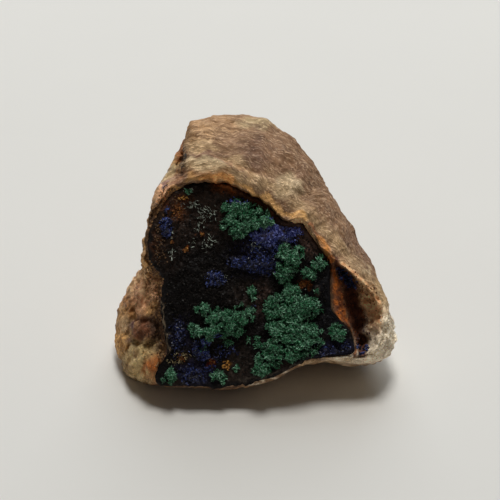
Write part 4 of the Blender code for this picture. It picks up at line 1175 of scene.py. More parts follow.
# %% Tones of the crust
CRUST_TONES = {
    "black": tone(19, 16, 17), "brown_black": tone(50, 36, 28), "soft_brown": tone(62, 51, 45),
    "purple_brown": tone(96, 74, 66), "blue_black": tone(15, 15, 22), "indigo": tone(26, 24, 52),
    "rust": tone(150, 82, 32), "dim_rust": tone(92, 52, 26),
    "gold": tone(180, 124, 42), "blood": tone(120, 42, 20), "purple": tone(52, 38, 66),
    "grey": tone(92, 84, 76), "pale_edge": tone(150, 134, 112),
}
CRUST_OVALS = [
    ("brown_black", -9.0, 7.0, 7.0, 6.0, 0.8), ("brown_black", -15.0, 1.0, 3.0, 5.0, 0.6),
    ("soft_brown", 0.5, -8.5, 4.0, 3.4, 0.6), ("soft_brown", -3.5, 8.0, 3.0, 3.0, 0.4),
    ("blue_black", 12.6, -7.0, 2.6, 5.5, 0.9), ("blue_black", 14.0, -12.5, 3.6, 2.6, 0.9),
    ("indigo", -10.6, -22.8, 3.6, 2.6, 0.9), ("indigo", 15.6, -18.2, 4.4, 1.4, 0.9),
    ("indigo", -12.4, -15.4, 2.2, 3.0, 0.7), ("indigo", 2.0, -1.6, 5.6, 3.4, 0.7),
    ("indigo", 4.0, 2.6, 5.4, 2.2, 0.7), ("dim_rust", -13.4, 7.2, 1.6, 1.8, 0.85),
    ("rust", -8.9, 3.0, 0.45, 0.5, 0.7), ("rust", -11.8, 0.1, 0.5, 0.5, 0.7),
    ("gold", -4.4, -21.3, 0.6, 0.5, 0.5), ("blood", -7.1, -20.9, 0.7, 1.0, 0.7),
    ("soft_brown", -1.6, -20.6, 2.4, 3.0, 0.6), ("purple_brown", 2.2, -9.0, 1.6, 3.4, 0.4),
    ("rust", 10.2, -6.3, 1.2, 0.9, 0.95), ("blood", -10.4, -17.8, 0.4, 0.5, 0.9),
    ("dim_rust", -12.8, 9.6, 1.8, 0.9, 0.7), ("brown_black", -16.4, 3.0, 1.8, 5.0, 1.0),
    ("dim_rust", -15.8, 8.2, 0.9, 1.4, 0.6), ("dim_rust", -17.4, 1.0, 0.9, 2.6, 0.5),
    ("purple", 8.9, -17.0, 1.6, 1.5, 0.8), ("soft_brown", 6.2, -21.4, 1.8, 1.4, 0.7),
    # Near the lip at the right, purple-brown is the crust's own tone laid lighter than it is, as painted
    # light in the lip's shadow.
    ("purple_brown", 10.8, 1.6, 1.8, 2.6, 0.9), ("purple_brown", 7.2, 4.4, 2.4, 1.2, 0.9),
    ("purple_brown", 12.6, -0.8, 1.4, 1.2, 0.6), ("grey", 12.4, -7.7, 0.5, 0.45, 0.8),
    ("brown_black", -12.6, -19.8, 1.6, 1.2, 0.8), ("soft_brown", -2.4, -23.4, 2.6, 1.2, 0.8),
    ("brown_black", -13.6, -24.6, 1.6, 0.8, 0.8),
]
CRUST_BANDS = [
    ("dim_rust", [(-6.6, 11.6), (-1.6, 10.4), (2.6, 8.0), (4.4, 6.2)], 1.5, 0.8),
    ("rust", [(-5.4, 11.9), (-3.0, 11.2)], 0.9, 0.9),
    ("pale_edge", [(-16.3, -9.4), (-15.9, -13.1), (-15.4, -16.4), (-14.9, -18.8)], 0.18, 0.9),
    ("grey", [(-1.9, -24.1), (3.7, -23.2), (7.2, -21.8), (10.0, -20.6)], 0.35, 0.9),
]
print("crust tones:", len(CRUST_TONES), "ovals:", len(CRUST_OVALS), "bands:", len(CRUST_BANDS))

# %% [markdown]
# A druse glitters because each facet has its own slant and gloss. Cells a third of a millimetre wide give
# both by chance, and a few of them are painted lighter as glints. Modelled facets as small as that would need
# millions of triangles.

# %% Crust material
def make_crust_material():
    """Near-black ground with darker patches, worn patches, and a few facet cells painted lighter as glints.
    """
    made, tree, shader = new_material("dark_druse", 0.5, 0.16)
    where = place(tree)
    ground = attribute(tree, "tone", "Color")
    facet, facet_tone = glints(tree, where, 3.0, 0.5)
    deep = tinted(tree, ground, (0.42, 0.40, 0.42))
    worn = tinted(tree, ground, (2.2, 2.1, 2.0))
    colour = blend(tree, patches(tree, where, 0.9, 0.5, 0.3), ground, deep)
    colour = blend(tree, times(tree, patches(tree, where, 1.8, 0.30, 0.12), 0.7), colour, worn)
    # Painted glints: the chosen facet cells take some of the lighter tint.
    colour = blend(tree, times(tree, facet, 0.25), colour, worn)
    roughness = plus(tree, 0.42, times(tree, facet_tone, 0.4))
    cells = node(tree, "ShaderNodeTexVoronoi", {"Vector": where, "Scale": 2.6})
    cells_up = bump(tree, cells.outputs["Distance"], 0.7, 0.22)
    set_surface(tree, shader, colour, roughness, bump(tree, facet_tone, 0.5, 0.1, cells_up))
    return made


CRUST_FINISH = make_crust_material()
print("crust material:", len(CRUST_FINISH.node_tree.nodes), "nodes")

# %% [markdown]
# The coat doesn't stop at the slab's edge: it creeps up the lip's wall, and at the bottom over it. On
# the right it ends at the plate. A straight offset of the outline would miss that, so the reach varies.

# %% The crust piece
CRUST_SPOKES = 520
EDGE_ROUNDING = 0.35


def crust_reach(angle):
    """How far the coat runs past the slab: up the lip's wall, but on the right just to the plate."""
    foot, crest = bed_radius(angle), lip_radius(angle)
    u, v = on_face(foot, angle)
    bottom = smooth((-19.0 - v) / 2.0)
    share = np.maximum(0.22 + 0.9 * wall_start(u, v), 1.45 * bottom)
    return mix(GAP + share * (crest - foot), 0.8 * GAP, in_hollow(u, v))


def make_crust():
    """Rings from the middle over the top, round the edge and back under to the middle."""
    angle = np.arange(CRUST_SPOKES) * TAU / CRUST_SPOKES
    top = np.linspace(0.0, 1.0, 128)[1:]
    under = np.linspace(1.0, 0.0, 14)[1:-1]
    share = np.concatenate([top, under])[:, None] + np.zeros(CRUST_SPOKES)
    edge = CRUST_LINE.radius(angle) + crust_reach(angle)
    u, v = on_face(share * edge, angle)
    height = crust_height(u, v) - EDGE_ROUNDING * smooth((share - 0.965) / 0.035)
    is_top = (np.arange(len(share)) < len(top))[:, None]
    w = np.where(is_top, height, bed(u, v) + GAP)
    points = np.stack([u, v, w], axis=-1)
    centre = np.array(FACE_CENTRE)
    poles = (*centre, float(crust_height(*centre))), (*centre, float(bed(*centre)) + GAP)
    warp = 0.35 * waves(points, 1.6, 20, seed=54), 0.35 * waves(points, 1.6, 20, seed=55)
    colour = layered(CRUST_TONES["black"], u + warp[0], v + warp[1], CRUST_TONES, CRUST_OVALS, CRUST_BANDS)
    add_piece(
        "crust", to_world(with_poles(points, *poles)), ring_faces(*share.shape), CRUST_FINISH,
        ["dark_crust"], values={"tone": with_poles(colour, colour[0, 0], colour[-1, 0])},
    )


make_crust()

# %% [markdown]
# ## Crystals by the thousand
# Every mineral on the crust is made of small crystals. One function builds any number of them at
# once: each is a short profile of rings carried along its own axis and closed by a point at both
# ends. A few flat sides are enough, because each crystal is no wider than a grain of salt.

# %% Crystal builder
def frames_on(axes, spin):
    """Two unit vectors across each axis: a cross product with a helper, turned by the spin."""
    helper = np.where(np.abs(axes[:, 2:3]) < 0.9, [[0.0, 0.0, 1.0]], [[1.0, 0.0, 0.0]])
    side = np.cross(axes, helper)
    side /= np.linalg.norm(side, axis=1, keepdims=True)
    other = np.cross(axes, side)
    turn = spin[:, None]
    return side * np.cos(turn) + other * np.sin(turn), other * np.cos(turn) - side * np.sin(turn)


def crystals(centres, axes, lengths, widths, form, rng, flat=1.0):
    """Centre + axis times step times length + ring of a radius times width, for each row of a form.

    A form is a number of sides and rows of (step along, radius); first and last rows are the points."""
    sides, profile = form
    axes = axes / np.linalg.norm(axes, axis=1, keepdims=True)
    first, second = frames_on(axes, rng.uniform(0.0, TAU, len(axes)))
    steps, radii = np.array(profile).T
    turn = np.arange(sides) * TAU / sides
    ring = np.cos(turn)[None, :, None] * first[:, None] + flat * np.sin(turn)[None, :, None] * second[:, None]
    spine = centres[:, None] + axes[:, None] * (steps[None, :] * lengths[:, None])[..., None]
    rings = spine[:, 1:-1, None] + ring[:, None] * (radii[None, 1:-1] * widths[:, None])[..., None, None]
    points = np.concatenate([spine[:, :1], rings.reshape(len(axes), -1, 3), spine[:, -1:]], axis=1)
    faces = ring_faces(len(profile) - 2, sides)[:, ::-1]  # the rings climb, so the turn is reversed
    count = points.shape[1]
    every = faces[None] + (np.arange(len(axes)) * count)[:, None, None]
    inner = np.repeat(steps[1:-1], sides)
    tip = np.broadcast_to(np.concatenate([[steps[0]], inner, [steps[-1]]]), (len(axes), count))
    shade = np.broadcast_to(rng.uniform(0.0, 1.0, (len(axes), 1)), (len(axes), count))
    return points.reshape(-1, 3), every.reshape(-1, 3), {"shade": shade.reshape(-1), "tip": tip.reshape(-1)}


def joined(parts):
    """Several (points, faces, values) as one."""
    starts = np.cumsum([0] + [len(points) for points, _, _ in parts[:-1]])
    points = np.concatenate([points for points, _, _ in parts])
    faces = np.concatenate([faces + start for (_, faces, _), start in zip(parts, starts)])
    values = {key: np.concatenate([part[2][key] for part in parts]) for key in parts[0][2]}
    return points, faces, values


def add_crystals(name, made, material, replaced=()):
    """A piece from crystals in face coordinates, flat-sided so that each facet shows."""
    points, faces, values = made
    add_piece(name, to_world(points), faces, material, replaced, soft=False, values=values)


print("triangles in a five-sided crystal with two rings:", len(ring_faces(2, 5)))

# %% [markdown]
# Patches of crystals have outlines, so the next helpers ask how deep a place lies inside one, strew
# places over it on a shaken lattice, and draw a simple oval. A shaken lattice leaves neither the gaps
# nor the heaps that places drawn purely by chance would.

# %% Places inside an outline
def edge_distance(points, outline):
    """Distance from each point to a closed outline, positive inside and negative outside."""
    starts, ends = outline, np.roll(outline, -1, axis=0)
    sides = ends - starts
    offset = points[:, None] - starts[None]
    along = np.clip((offset * sides).sum(-1) / (sides**2).sum(-1), 0.0, 1.0)
    nearest = np.linalg.norm(offset - along[..., None] * sides, axis=-1).min(axis=1)
    spans = (starts[:, 1] > points[:, None, 1]) != (ends[:, 1] > points[:, None, 1])
    rise = np.where(sides[:, 1] == 0.0, 1.0, sides[:, 1])
    crossing = starts[:, 0] + offset[..., 1] * sides[:, 0] / rise
    inside = (spans & (points[:, None, 0] < crossing)).sum(axis=1) % 2 == 1
    return np.where(inside, nearest, -nearest)


def scattered(outline, spacing, margin, rng):
    """A jittered triangular lattice inside an outline, and each point's distance to the edge."""
    low, high = outline.min(axis=0), outline.max(axis=0)
    row_height = spacing * math.sqrt(3.0) / 2.0
    rows = np.arange(math.ceil((high[1] - low[1]) / row_height) + 1)
    columns = np.arange(-len(rows), math.ceil((high[0] - low[0]) / spacing) + 1)
    column, row = np.meshgrid(columns, rows)
    points = np.stack([low[0] + spacing * (column + row / 2.0), low[1] + row_height * row], -1).reshape(-1, 2)
    points = points + rng.uniform(-0.3, 0.3, points.shape) * spacing
    inset = edge_distance(points, outline)
    keep = inset > margin
    return points[keep], inset[keep]


def blob(centre, half_width, half_height, corners=12):
    """An oval outline round a centre."""
    turn = np.arange(corners) * TAU / corners
    return np.stack([centre[0] + half_width * np.cos(turn), centre[1] + half_height * np.sin(turn)], -1)


print("inside by (mm):", edge_distance(np.array([[0.0, 0.0]]), blob((0.0, 0.0), 2.0, 2.0)))

# %% [markdown]
# ## Malachite
# Malachite grows here as rosettes a millimetre or two across, each bristling with short needles, so
# that a patch looks like moss. Modelling a patch as one bumpy sheet would lose its lobed edge and the
# dark gaps. So each patch is filled with low domes, big ones inside and small ones along the edge,
# and every dome is planted with needles that point outwards.

# %% Domes and their grains
DOME_FOOT = 0.12  # how far a dome reaches below its middle, as a share of its height


def hemisphere(count):
    """Even directions over a ball's upper half and a little more: a spiral with golden-angle turns."""
    step = np.arange(count) + 0.5
    height = 1.0 - step / count * (1.0 + DOME_FOOT)
    turn = step * math.pi * (3.0 - math.sqrt(5.0))
    flat = np.sqrt(np.maximum(1.0 - height**2, 0.0))
    return np.stack([flat * np.cos(turn), flat * np.sin(turn), height], axis=-1)


def domes(centres, radii, heights, sides=14, rows=5):
    """Closed half-egg lumps: a circle times a quarter sine across, its cosine up, and a flat foot."""
    rise = np.linspace(0.0, math.pi / 2.0, rows + 1)[1:]
    across = np.concatenate([np.sin(rise), [0.6]])
    up = np.concatenate([np.cos(rise), [-DOME_FOOT]])
    turn = np.arange(sides) * TAU / sides
    circle = np.stack([np.cos(turn), np.sin(turn)], axis=-1)
    widths = (across[None, :] * radii[:, None])[..., None, None]
    levels = (up[None, :] * heights[:, None])[..., None, None]
    flat = centres[:, None, None, :2] + circle[None, None] * widths
    level = centres[:, None, None, 2:] + np.broadcast_to(levels, (*flat.shape[:3], 1))
    rings = np.concatenate([flat, level], axis=-1).reshape(len(centres), -1, 3)
    top = centres + heights[:, None] * [0.0, 0.0, 1.0]
    foot = centres - heights[:, None] * [0.0, 0.0, DOME_FOOT]
    points = np.concatenate([top[:, None], rings, foot[:, None]], axis=1)
    every = ring_faces(len(across), sides)[None] + (np.arange(len(centres)) * points.shape[1])[:, None, None]
    nothing = np.zeros(len(centres) * points.shape[1])
    return points.reshape(-1, 3), every.reshape(-1, 3), {"shade": nothing, "tip": nothing}


def lump_centres(outline, spacing, radius, crown, under, rng):
    """Big lumps on a lattice inside, small ones along the edge: centres on what carries them, and radii."""
    inner, inset = scattered(outline, spacing, 0.35 * spacing, rng)
    edge, edge_inset = scattered(outline, 0.62 * spacing, -0.12, rng)
    near = (edge_inset < 0.42 * spacing) & (rng.uniform(size=len(edge_inset)) < 0.8)
    edge, edge_inset = edge[near], edge_inset[near]
    flat = np.concatenate([inner, edge])
    radii = np.concatenate([
        np.minimum(radius * rng.uniform(0.72, 1.25, len(inner)), inset + 0.55 * radius),
        radius * rng.uniform(0.32, 0.66, len(edge)),
    ])
    inwards = smooth(np.concatenate([inset, edge_inset]) / (1.3 * spacing))
    lift = crown * inwards * rng.uniform(0.7, 1.1, len(flat))
    return np.column_stack([flat, under(flat[:, 0], flat[:, 1]) + lift]), radii


def planted(centres, radii, heights, density, reach, rng):
    """Grain places, directions and how high up its dome each sits: a spiral turned by chance."""
    places, outward, levels = [], [], []
    for centre, radius, height in zip(centres, radii, heights):
        way = hemisphere(max(8, int(density * TAU * radius * (radius + height) / 2.0)))
        spin = rng.uniform(0.0, TAU)
        c, s = math.cos(spin), math.sin(spin)
        way = np.stack([c * way[:, 0] - s * way[:, 1], s * way[:, 0] + c * way[:, 1], way[:, 2]], axis=-1)
        places.append(centre + way * [radius, radius, height])
        outward.append(way * [1.0, 1.0, radius / height])
        levels.append(way[:, 2])
    outward = np.concatenate(outward)
    outward /= np.linalg.norm(outward, axis=1, keepdims=True)
    outward = outward + reach * rng.normal(size=outward.shape)
    return np.concatenate(places), outward, np.concatenate(levels)


print("heights on a dome, lowest and highest:", hemisphere(40)[[-1, 0], 2].round(2))

# %% [markdown]
# A patch of moss is then a body of domes under a coat of needles. The body is a fifth smaller than the
# domes that the needles stand on, and hides what would show between them.

# %% Moss
NEEDLE = (4, [(-0.35, 0.0), (0.25, 1.0), (1.0, 0.0)])


def moss(outline, crown, seed, spacing=1.25, radius=0.66, density=18.0):
    """A patch of rosettes: domes under a coat of needles."""
    rng = np.random.default_rng(seed)
    outline = np.asarray(outline, float)
    centres, radii = lump_centres(outline, spacing, radius, crown, crust_height, rng)
    heights = radii * rng.uniform(0.9, 1.7, len(radii))
    body = domes(centres, radii * 0.8, heights * 0.8)
    places, outward, levels = planted(centres, radii, heights, density, 0.85, rng)
    places = places - 0.12 * outward
    size = rng.uniform(0.6, 1.5, len(places))
    coat = crystals(places, outward, 0.52 * size, 0.10 * size, NEEDLE, rng)
    # Painted shade: needles low on their dome get a smaller tip value, so the material paints them darker.
    lit = 0.30 + 0.70 * smooth(levels / 0.75)
    coat[2]["tip"] = coat[2]["tip"] * np.repeat(lit, len(coat[0]) // len(levels))
    return joined([body, coat])


print("a needle has", NEEDLE[0], "sides")

# %% [markdown]
# Moss looks deep because its tips are lit and its feet are in shade. The light alone can't show that at this
# size, so each needle is painted darker towards its foot, and more so low on its dome, as painted shade, and
# a chance few get painted highlights almost white.

# %% Malachite material
def make_malachite_material():
    """Painted shade from deep green at a needle's foot to mid green at its tip, and pale green painted
    highlights on a chance few.
    """
    made, tree, shader = new_material("malachite_moss", 0.5, 0.4)
    where = place(tree)
    tip, shade = attribute(tree, "tip"), attribute(tree, "shade")
    deep, mid, bright = tuple(tone(3, 16, 11)), tuple(tone(72, 206, 134)), tuple(tone(216, 255, 236))
    colour = blend(tree, times(tree, tip, 1.1, clamp=True), deep, mid)
    dim = times(tree, minus(tree, 1.0, shade), 0.55)
    colour = blend(tree, dim, colour, deep)
    lit = sums(tree, "POWER", shade, 2.0)
    colour = blend(tree, times(tree, lit, tip), colour, bright)
    cloud = patches(tree, where, 0.35, 0.45, 0.3)
    darker = tinted(tree, colour, (0.50, 0.62, 0.55))
    colour = blend(tree, times(tree, cloud, 0.5), colour, darker)
    roughness = minus(tree, 0.62, times(tree, lit, 0.2))
    set_surface(tree, shader, colour, roughness, fine_grain(tree, where, 9.0, 0.4))
    return made


MALACHITE = make_malachite_material()
print("malachite material:", len(MALACHITE.node_tree.nodes), "nodes")

# %% [markdown]
# The outlines below are those that the solids were cut to, give or take the width of a few needles,
# so each mossy patch stands where its solid does and takes its place.

# %% Malachite patches
MALACHITE_UPPER = [
    (-5.0, 8.3), (-2.8, 9.2), (-0.5, 9.0), (1.9, 8.0), (3.6, 6.6), (4.6, 5.2), (3.4, 4.5),
    (1.1, 4.1), (-0.5, 3.2), (-1.3, 1.9), (-2.4, 1.7), (-3.2, 2.8), (-4.8, 3.4), (-5.4, 4.8),
    (-4.4, 5.9), (-5.2, 7.1),
]
MALACHITE_MAIN = [
    (7.3, 1.5), (9.5, 0.5), (9.8, -1.1), (8.7, -3.4), (7.6, -5.7), (9.4, -7.0), (9.8, -8.5),
    (12.2, -9.0), (13.6, -10.9), (12.0, -12.2), (10.6, -13.0), (11.6, -13.8), (13.4, -15.0),
    (13.6, -17.4), (12.2, -18.1), (12.0, -19.3), (9.6, -20.1), (7.8, -20.4), (6.4, -20.5),
    (5.0, -21.3), (4.4, -22.5), (2.3, -23.2), (0.7, -23.1), (0.1, -22.0), (0.7, -20.5),
    (1.5, -19.2), (1.5, -17.9), (2.9, -16.7), (3.0, -15.5), (2.4, -14.4), (3.4, -12.8),
    (2.5, -11.2), (2.8, -9.7), (5.1, -8.0), (5.6, -6.1), (4.7, -4.6), (4.8, -1.5), (5.4, 0.5),
]
MALACHITE_LEFT = [
    (-12.2, -14.3), (-10.2, -13.9), (-8.3, -13.4), (-6.6, -11.4), (-5.8, -10.5), (-3.6, -11.1),
    (-2.6, -10.2), (-0.6, -10.0), (0.6, -11.3), (1.2, -12.4), (-0.5, -14.5), (-1.1, -15.4),
    (-2.4, -16.5), (-3.7, -15.7), (-5.9, -16.4), (-8.3, -17.3), (-9.4, -16.6), (-10.8, -15.8),
]
MALACHITE_RIGHT_CORNER = [
    (14.6, -14.6), (16.0, -13.7), (17.2, -14.2), (17.8, -15.2), (17.2, -16.5), (16.1, -17.4),
    (15.2, -16.5),
]
MALACHITE_PATCHES = [
    ("malachite_upper", MALACHITE_UPPER, 0.8), ("malachite_main", MALACHITE_MAIN, 1.0),
    ("malachite_left", MALACHITE_LEFT, 0.9), ("malachite_left_bud", blob((-8.7, -11.0), 1.45, 0.95), 0.5),
    ("malachite_lower_bud", blob((0.7, -16.4), 1.05, 1.05), 0.5),
    ("malachite_right_edge", blob((12.8, -2.5), 1.3, 1.35), 0.5),
    ("malachite_rusty_bud", blob((10.8, -4.7), 1.3, 1.3), 0.4),
    ("malachite_right_corner", MALACHITE_RIGHT_CORNER, 0.5),
    ("malachite_lower_left", blob((-15.0, -23.3), 1.2, 1.45), 0.6),
    ("malachite_lower_edge", blob((-5.9, -23.5), 1.4, 1.1), 0.6),
    ("malachite_sprig", blob((0.2, -7.9), 0.6, 1.1), 0.3),
]
# Bits too small for a solid of their own.
MALACHITE_BITS = [
    blob((-8.4, -18.5), 0.8, 0.5), blob((-11.4, 10.8), 0.5, 0.35), blob((12.5, -7.6), 0.35, 0.35),
    blob((-3.9, -17.2), 0.7, 0.5), blob((-10.4, -14.3), 0.8, 0.5), blob((-2.6, -21.9), 0.6, 0.5),
]
for number, (name, outline, crown) in enumerate(MALACHITE_PATCHES):
    add_crystals(name + "_moss", moss(outline, crown, seed=600 + number), MALACHITE, [name])
bits = [moss(outline, 0.1, seed=630 + number, spacing=0.6, radius=0.3)
        for number, outline in enumerate(MALACHITE_BITS)]
add_crystals("malachite_bits", joined(bits), MALACHITE)

# %% [markdown]
# ## Azurite
# Azurite makes small stout crystals with flat glassy faces, deep blue where thick and bright blue
# where light gets in. Each patch is a bed of low lumps, set with short prisms that point every way.

# %% Azurite druse
PRISM = (5, [(-0.5, 0.0), (-0.2, 0.9), (0.45, 1.0), (0.75, 0.55), (0.85, 0.0)])


def druse(outline, seed, under, density, spacing=0.95, radius=0.6, size=0.36, crown=0.35):
    """A patch of prisms that stand on low lumps, over the height that the function under gives."""
    rng = np.random.default_rng(seed)
    outline = np.asarray(outline, float)
    centres, radii = lump_centres(outline, spacing, radius, crown, under, rng)
    heights = radii * rng.uniform(0.55, 0.9, len(radii))
    body = domes(centres, radii * 0.85, heights * 0.8, sides=9, rows=3)
    places, outward, _ = planted(centres, radii, heights, density, 0.8, rng)
    grown = size * rng.uniform(0.6, 1.5, len(places))
    coat = crystals(places - 0.1 * outward, outward, grown, 0.36 * grown, PRISM, rng, flat=0.6)
    return joined([body, coat])


print("a prism has", PRISM[0], "sides")

# %% [markdown]
# Azurite is so dark that most facets look black and only some turn blue. Three tones by chance a
# crystal do that, and a patchy dust of crust dulls the rest. Three finishes share the one recipe.

# %% Azurite materials
def make_azurite_material(name, tones):
    """Crystals from the first tone to the second by chance, a few in the third, dusted with the fourth."""
    made, tree, shader = new_material(name, 0.3, 0.5)
    where = place(tree)
    shade = attribute(tree, "shade")
    deep, mid, bright, dust = (tuple(each) for each in tones)
    colour = blend(tree, shade, deep, mid)
    colour = blend(tree, times(tree, sums(tree, "POWER", shade, 4.0), 0.7), colour, bright)
    dusty = patches(tree, where, 0.7, 0.34, 0.12)
    colour = blend(tree, times(tree, dusty, 0.8), colour, dust)
    roughness = plus(tree, 0.26, times(tree, dusty, 0.4))
    set_surface(tree, shader, colour, roughness, fine_grain(tree, where, 7.0, 0.3))
    return made


AZURITE = make_azurite_material(
    "azurite_crystals", (tone(14, 16, 34), tone(42, 50, 110), tone(104, 126, 206), tone(26, 22, 26)))
AZURITE_FELT = make_azurite_material(
    "azurite_felt", (tone(30, 34, 84), tone(94, 106, 204), tone(170, 184, 255), tone(84, 78, 96)))
AZURITE_DARK = make_azurite_material(
    "azurite_dark", (tone(14, 15, 30), tone(36, 40, 86), tone(84, 102, 170), tone(28, 24, 30)))
print("azurite finishes:", AZURITE.name, AZURITE_FELT.name, AZURITE_DARK.name)

# %% [markdown]
# Again the outlines follow the solids. Patches that lie deep in shade have the dark finish, and
# the felted band at the top has crystals so fine that they look paler.

# %% Azurite patches
AZURITE_UPPER_BAND = [
    (0.1, 2.7), (1.4, 3.3), (2.9, 3.7), (5.2, 4.2), (7.3, 3.9), (9.0, 3.9), (8.9, 3.0),
    (6.8, 2.3), (5.0, 1.6), (3.4, 1.0), (1.2, 1.6),
]
AZURITE_CENTRE = [
    (-4.4, -2.2), (-3.0, -1.1), (-0.9, -1.3), (1.5, -1.1), (3.6, -1.6), (4.0, -3.2),
    (2.2, -4.4), (0.0, -3.9), (-1.3, -2.9), (-3.1, -3.1),
]
AZURITE_LOWER_LEFT = [
    (-13.7, -13.2), (-12.8, -13.2), (-12.8, -14.6), (-12.0, -15.7), (-11.6, -16.7),
    (-13.2, -16.7), (-13.8, -15.0),
]
AZURITE_UNDER_LEFT = [
    (-10.3, -16.9), (-9.5, -17.6), (-8.6, -18.2), (-7.6, -18.1), (-7.5, -19.4), (-8.4, -20.6),
    (-9.6, -19.9), (-10.5, -18.4),
]
AZURITE_LOWER_EDGE = [
    (-12.9, -22.0), (-10.7, -21.6), (-8.5, -22.6), (-8.2, -24.2), (-12.4, -24.4),
]
AZURITE_LOWER_RIGHT = [
    (12.8, -19.1), (13.9, -18.4), (15.3, -18.2), (16.5, -18.2), (17.6, -17.6), (18.3, -16.9),
    (18.5, -18.2), (15.7, -18.9), (13.2, -19.4),
]
AZURITE_HOLLOW_HEAD = [
    (15.8, -3.4), (17.0, -3.3), (18.8, -4.7), (20.4, -6.4), (19.6, -7.2), (18.0, -6.3),
    (16.4, -4.7),
]
AZURITE_PATCHES = [
    ("azurite_left_edge", blob((-15.5, 4.3), 1.1, 1.7), crust_height),
    ("azurite_upper_band", AZURITE_UPPER_BAND, crust_height),
    ("azurite_centre", AZURITE_CENTRE, crust_height),
    ("azurite_speckled", blob((-6.5, -5.4), 1.8, 1.2), crust_height),
    ("azurite_lower_left", AZURITE_LOWER_LEFT, crust_height),
    ("azurite_under_left", AZURITE_UNDER_LEFT, crust_height),
    ("azurite_lower_edge", AZURITE_LOWER_EDGE, crust_height),
    ("azurite_lower_right", AZURITE_LOWER_RIGHT, crust_height),
    ("azurite_hollow_head", AZURITE_HOLLOW_HEAD, inner_front),
]
AZURITE_FINISHES = {
    "azurite_upper_band": AZURITE_FELT, "azurite_lower_edge": AZURITE_DARK,
    "azurite_lower_right": AZURITE_DARK, "azurite_lower_left": AZURITE_DARK,
}
# Crystals a square millimetre: the knob at the left edge is twice as dense as the other patches.
DRUSE_DENSITY = 15.0
DENSE_DRUSES = {"azurite_left_edge": 30.0}
for number, (name, outline, under) in enumerate(AZURITE_PATCHES):
    made = druse(outline, 700 + number, under, density=DENSE_DRUSES.get(name, DRUSE_DENSITY))
    add_crystals(name + "_druse", made, AZURITE_FINISHES.get(name, AZURITE), [name])
# A little cluster at the foot of the hollow, too small for a solid of its own.
hollow_foot = druse(blob((20.8, -18.3), 1.1, 0.95), 709, inner_front, density=DRUSE_DENSITY)
add_crystals("azurite_hollow_foot", hollow_foot, AZURITE)

# %% [markdown]
# Single crystals lie between the patches as well: thin where the crust shows through, thicker along
# the edges of the moss. Ovals say where and how thickly, and chance places each one.

# %% Scattered crystals
EDGE_MARGIN = 0.3


def scattered_crystals(form, ovals, per_mm2, size, slender, spread, lift, seed, flat=0.7):
    """Crystals thrown over ovals (u, v, half width, half height), so many a square millimetre.

    Place = centre + half size times the root of a chance share; heading = straight up + spread;
    width = slender times length; lift is how far the middles stand over the crust."""
    rng = np.random.default_rng(seed)
    places = []
    for cu, cv, half_u, half_v in ovals:
        count = max(3, int(per_mm2 * math.pi * half_u * half_v))
        reach = np.sqrt(rng.uniform(0.0, 1.0, count)) * (1.0 + 0.25 * rng.normal(size=count))
        turn = rng.uniform(0.0, TAU, count)
        places.append(np.stack([cu + half_u * reach * np.cos(turn), cv + half_v * reach * np.sin(turn)], -1))
    flat_places = np.concatenate(places)
    keep = edge_distance(flat_places, np.array(CRUST)) > EDGE_MARGIN
    u, v = flat_places[keep].T
    axes = np.stack([np.zeros_like(u), np.zeros_like(u), np.ones_like(u)], -1)
    axes = axes + spread * rng.normal(size=axes.shape)
    grown = size * rng.uniform(0.6, 1.5, len(u))
    centres = np.stack([u, v, crust_height(u, v) + lift], axis=-1)
    return crystals(centres, axes, grown, slender * grown, form, rng, flat)


BLUE_OVALS = [
    (-15.4, 7.6, 0.7, 0.9), (-1.4, 9.3, 2.4, 0.45), (4.8, 6.3, 0.7, 0.6), (4.0, 2.4, 4.6, 1.6),
    (1.6, 0.2, 3.4, 1.2), (-2.6, -1.9, 2.0, 0.9), (3.0, -3.4, 2.4, 1.6), (-6.3, -5.4, 2.0, 1.4),
    (-9.0, -18.6, 1.8, 1.6), (-5.6, -20.0, 1.4, 0.8), (0.6, -10.6, 0.7, 0.6),
    (5.0, 0.4, 1.0, 1.4), (-15.4, 7.5, 0.5, 0.6),
]
DARK_BLUE_OVALS = [
    (-12.8, -15.2, 1.0, 1.8), (-10.8, -23.0, 2.6, 1.5), (15.6, -18.2, 3.0, 0.8), (-7.6, -21.8, 2.0, 0.9),
    (-13.6, -16.4, 1.6, 3.4), (-4.4, -18.4, 2.0, 1.2), (3.4, -1.0, 3.6, 3.0),
]
FELT_OVALS = [(2.2, 4.3, 2.6, 0.8), (6.2, 4.2, 2.8, 0.7), (4.4, 1.6, 3.8, 1.2), (8.2, 3.4, 1.6, 0.9)]
TUFT_OVALS = [(4.0, 5.9, 0.9, 0.6), (-2.6, 8.9, 1.8, 0.35), (-8.4, -16.9, 1.2, 0.5), (-6.0, -15.8, 0.9, 0.4)]
LOOSE_LENGTH = 0.34
# Name, material, ovals, crystals a square millimetre, slenderness, spread, lift, seed, flatness
LOOSE_AZURITE = [
    ("azurite_scatter", AZURITE, BLUE_OVALS, 9.0, 0.38, 0.9, 0.05, 811, 0.6),
    ("azurite_dark_scatter", AZURITE_DARK, DARK_BLUE_OVALS, 9.0, 0.38, 0.9, 0.05, 814, 0.6),
    ("azurite_felt_scatter", AZURITE_FELT, FELT_OVALS, 15.0, 0.24, 1.1, 0.15, 812, 0.7),
    ("azurite_tufts", AZURITE_FELT, TUFT_OVALS, 16.0, 0.30, 1.1, 0.80, 813, 0.7),
]
for name, material, ovals, per_mm2, *shape in LOOSE_AZURITE:
    add_crystals(name, scattered_crystals(PRISM, ovals, per_mm2, LOOSE_LENGTH, *shape), material)

# %% [markdown]
# Grains of other minerals need only two tones, a roughness and some dust, so they share one recipe.

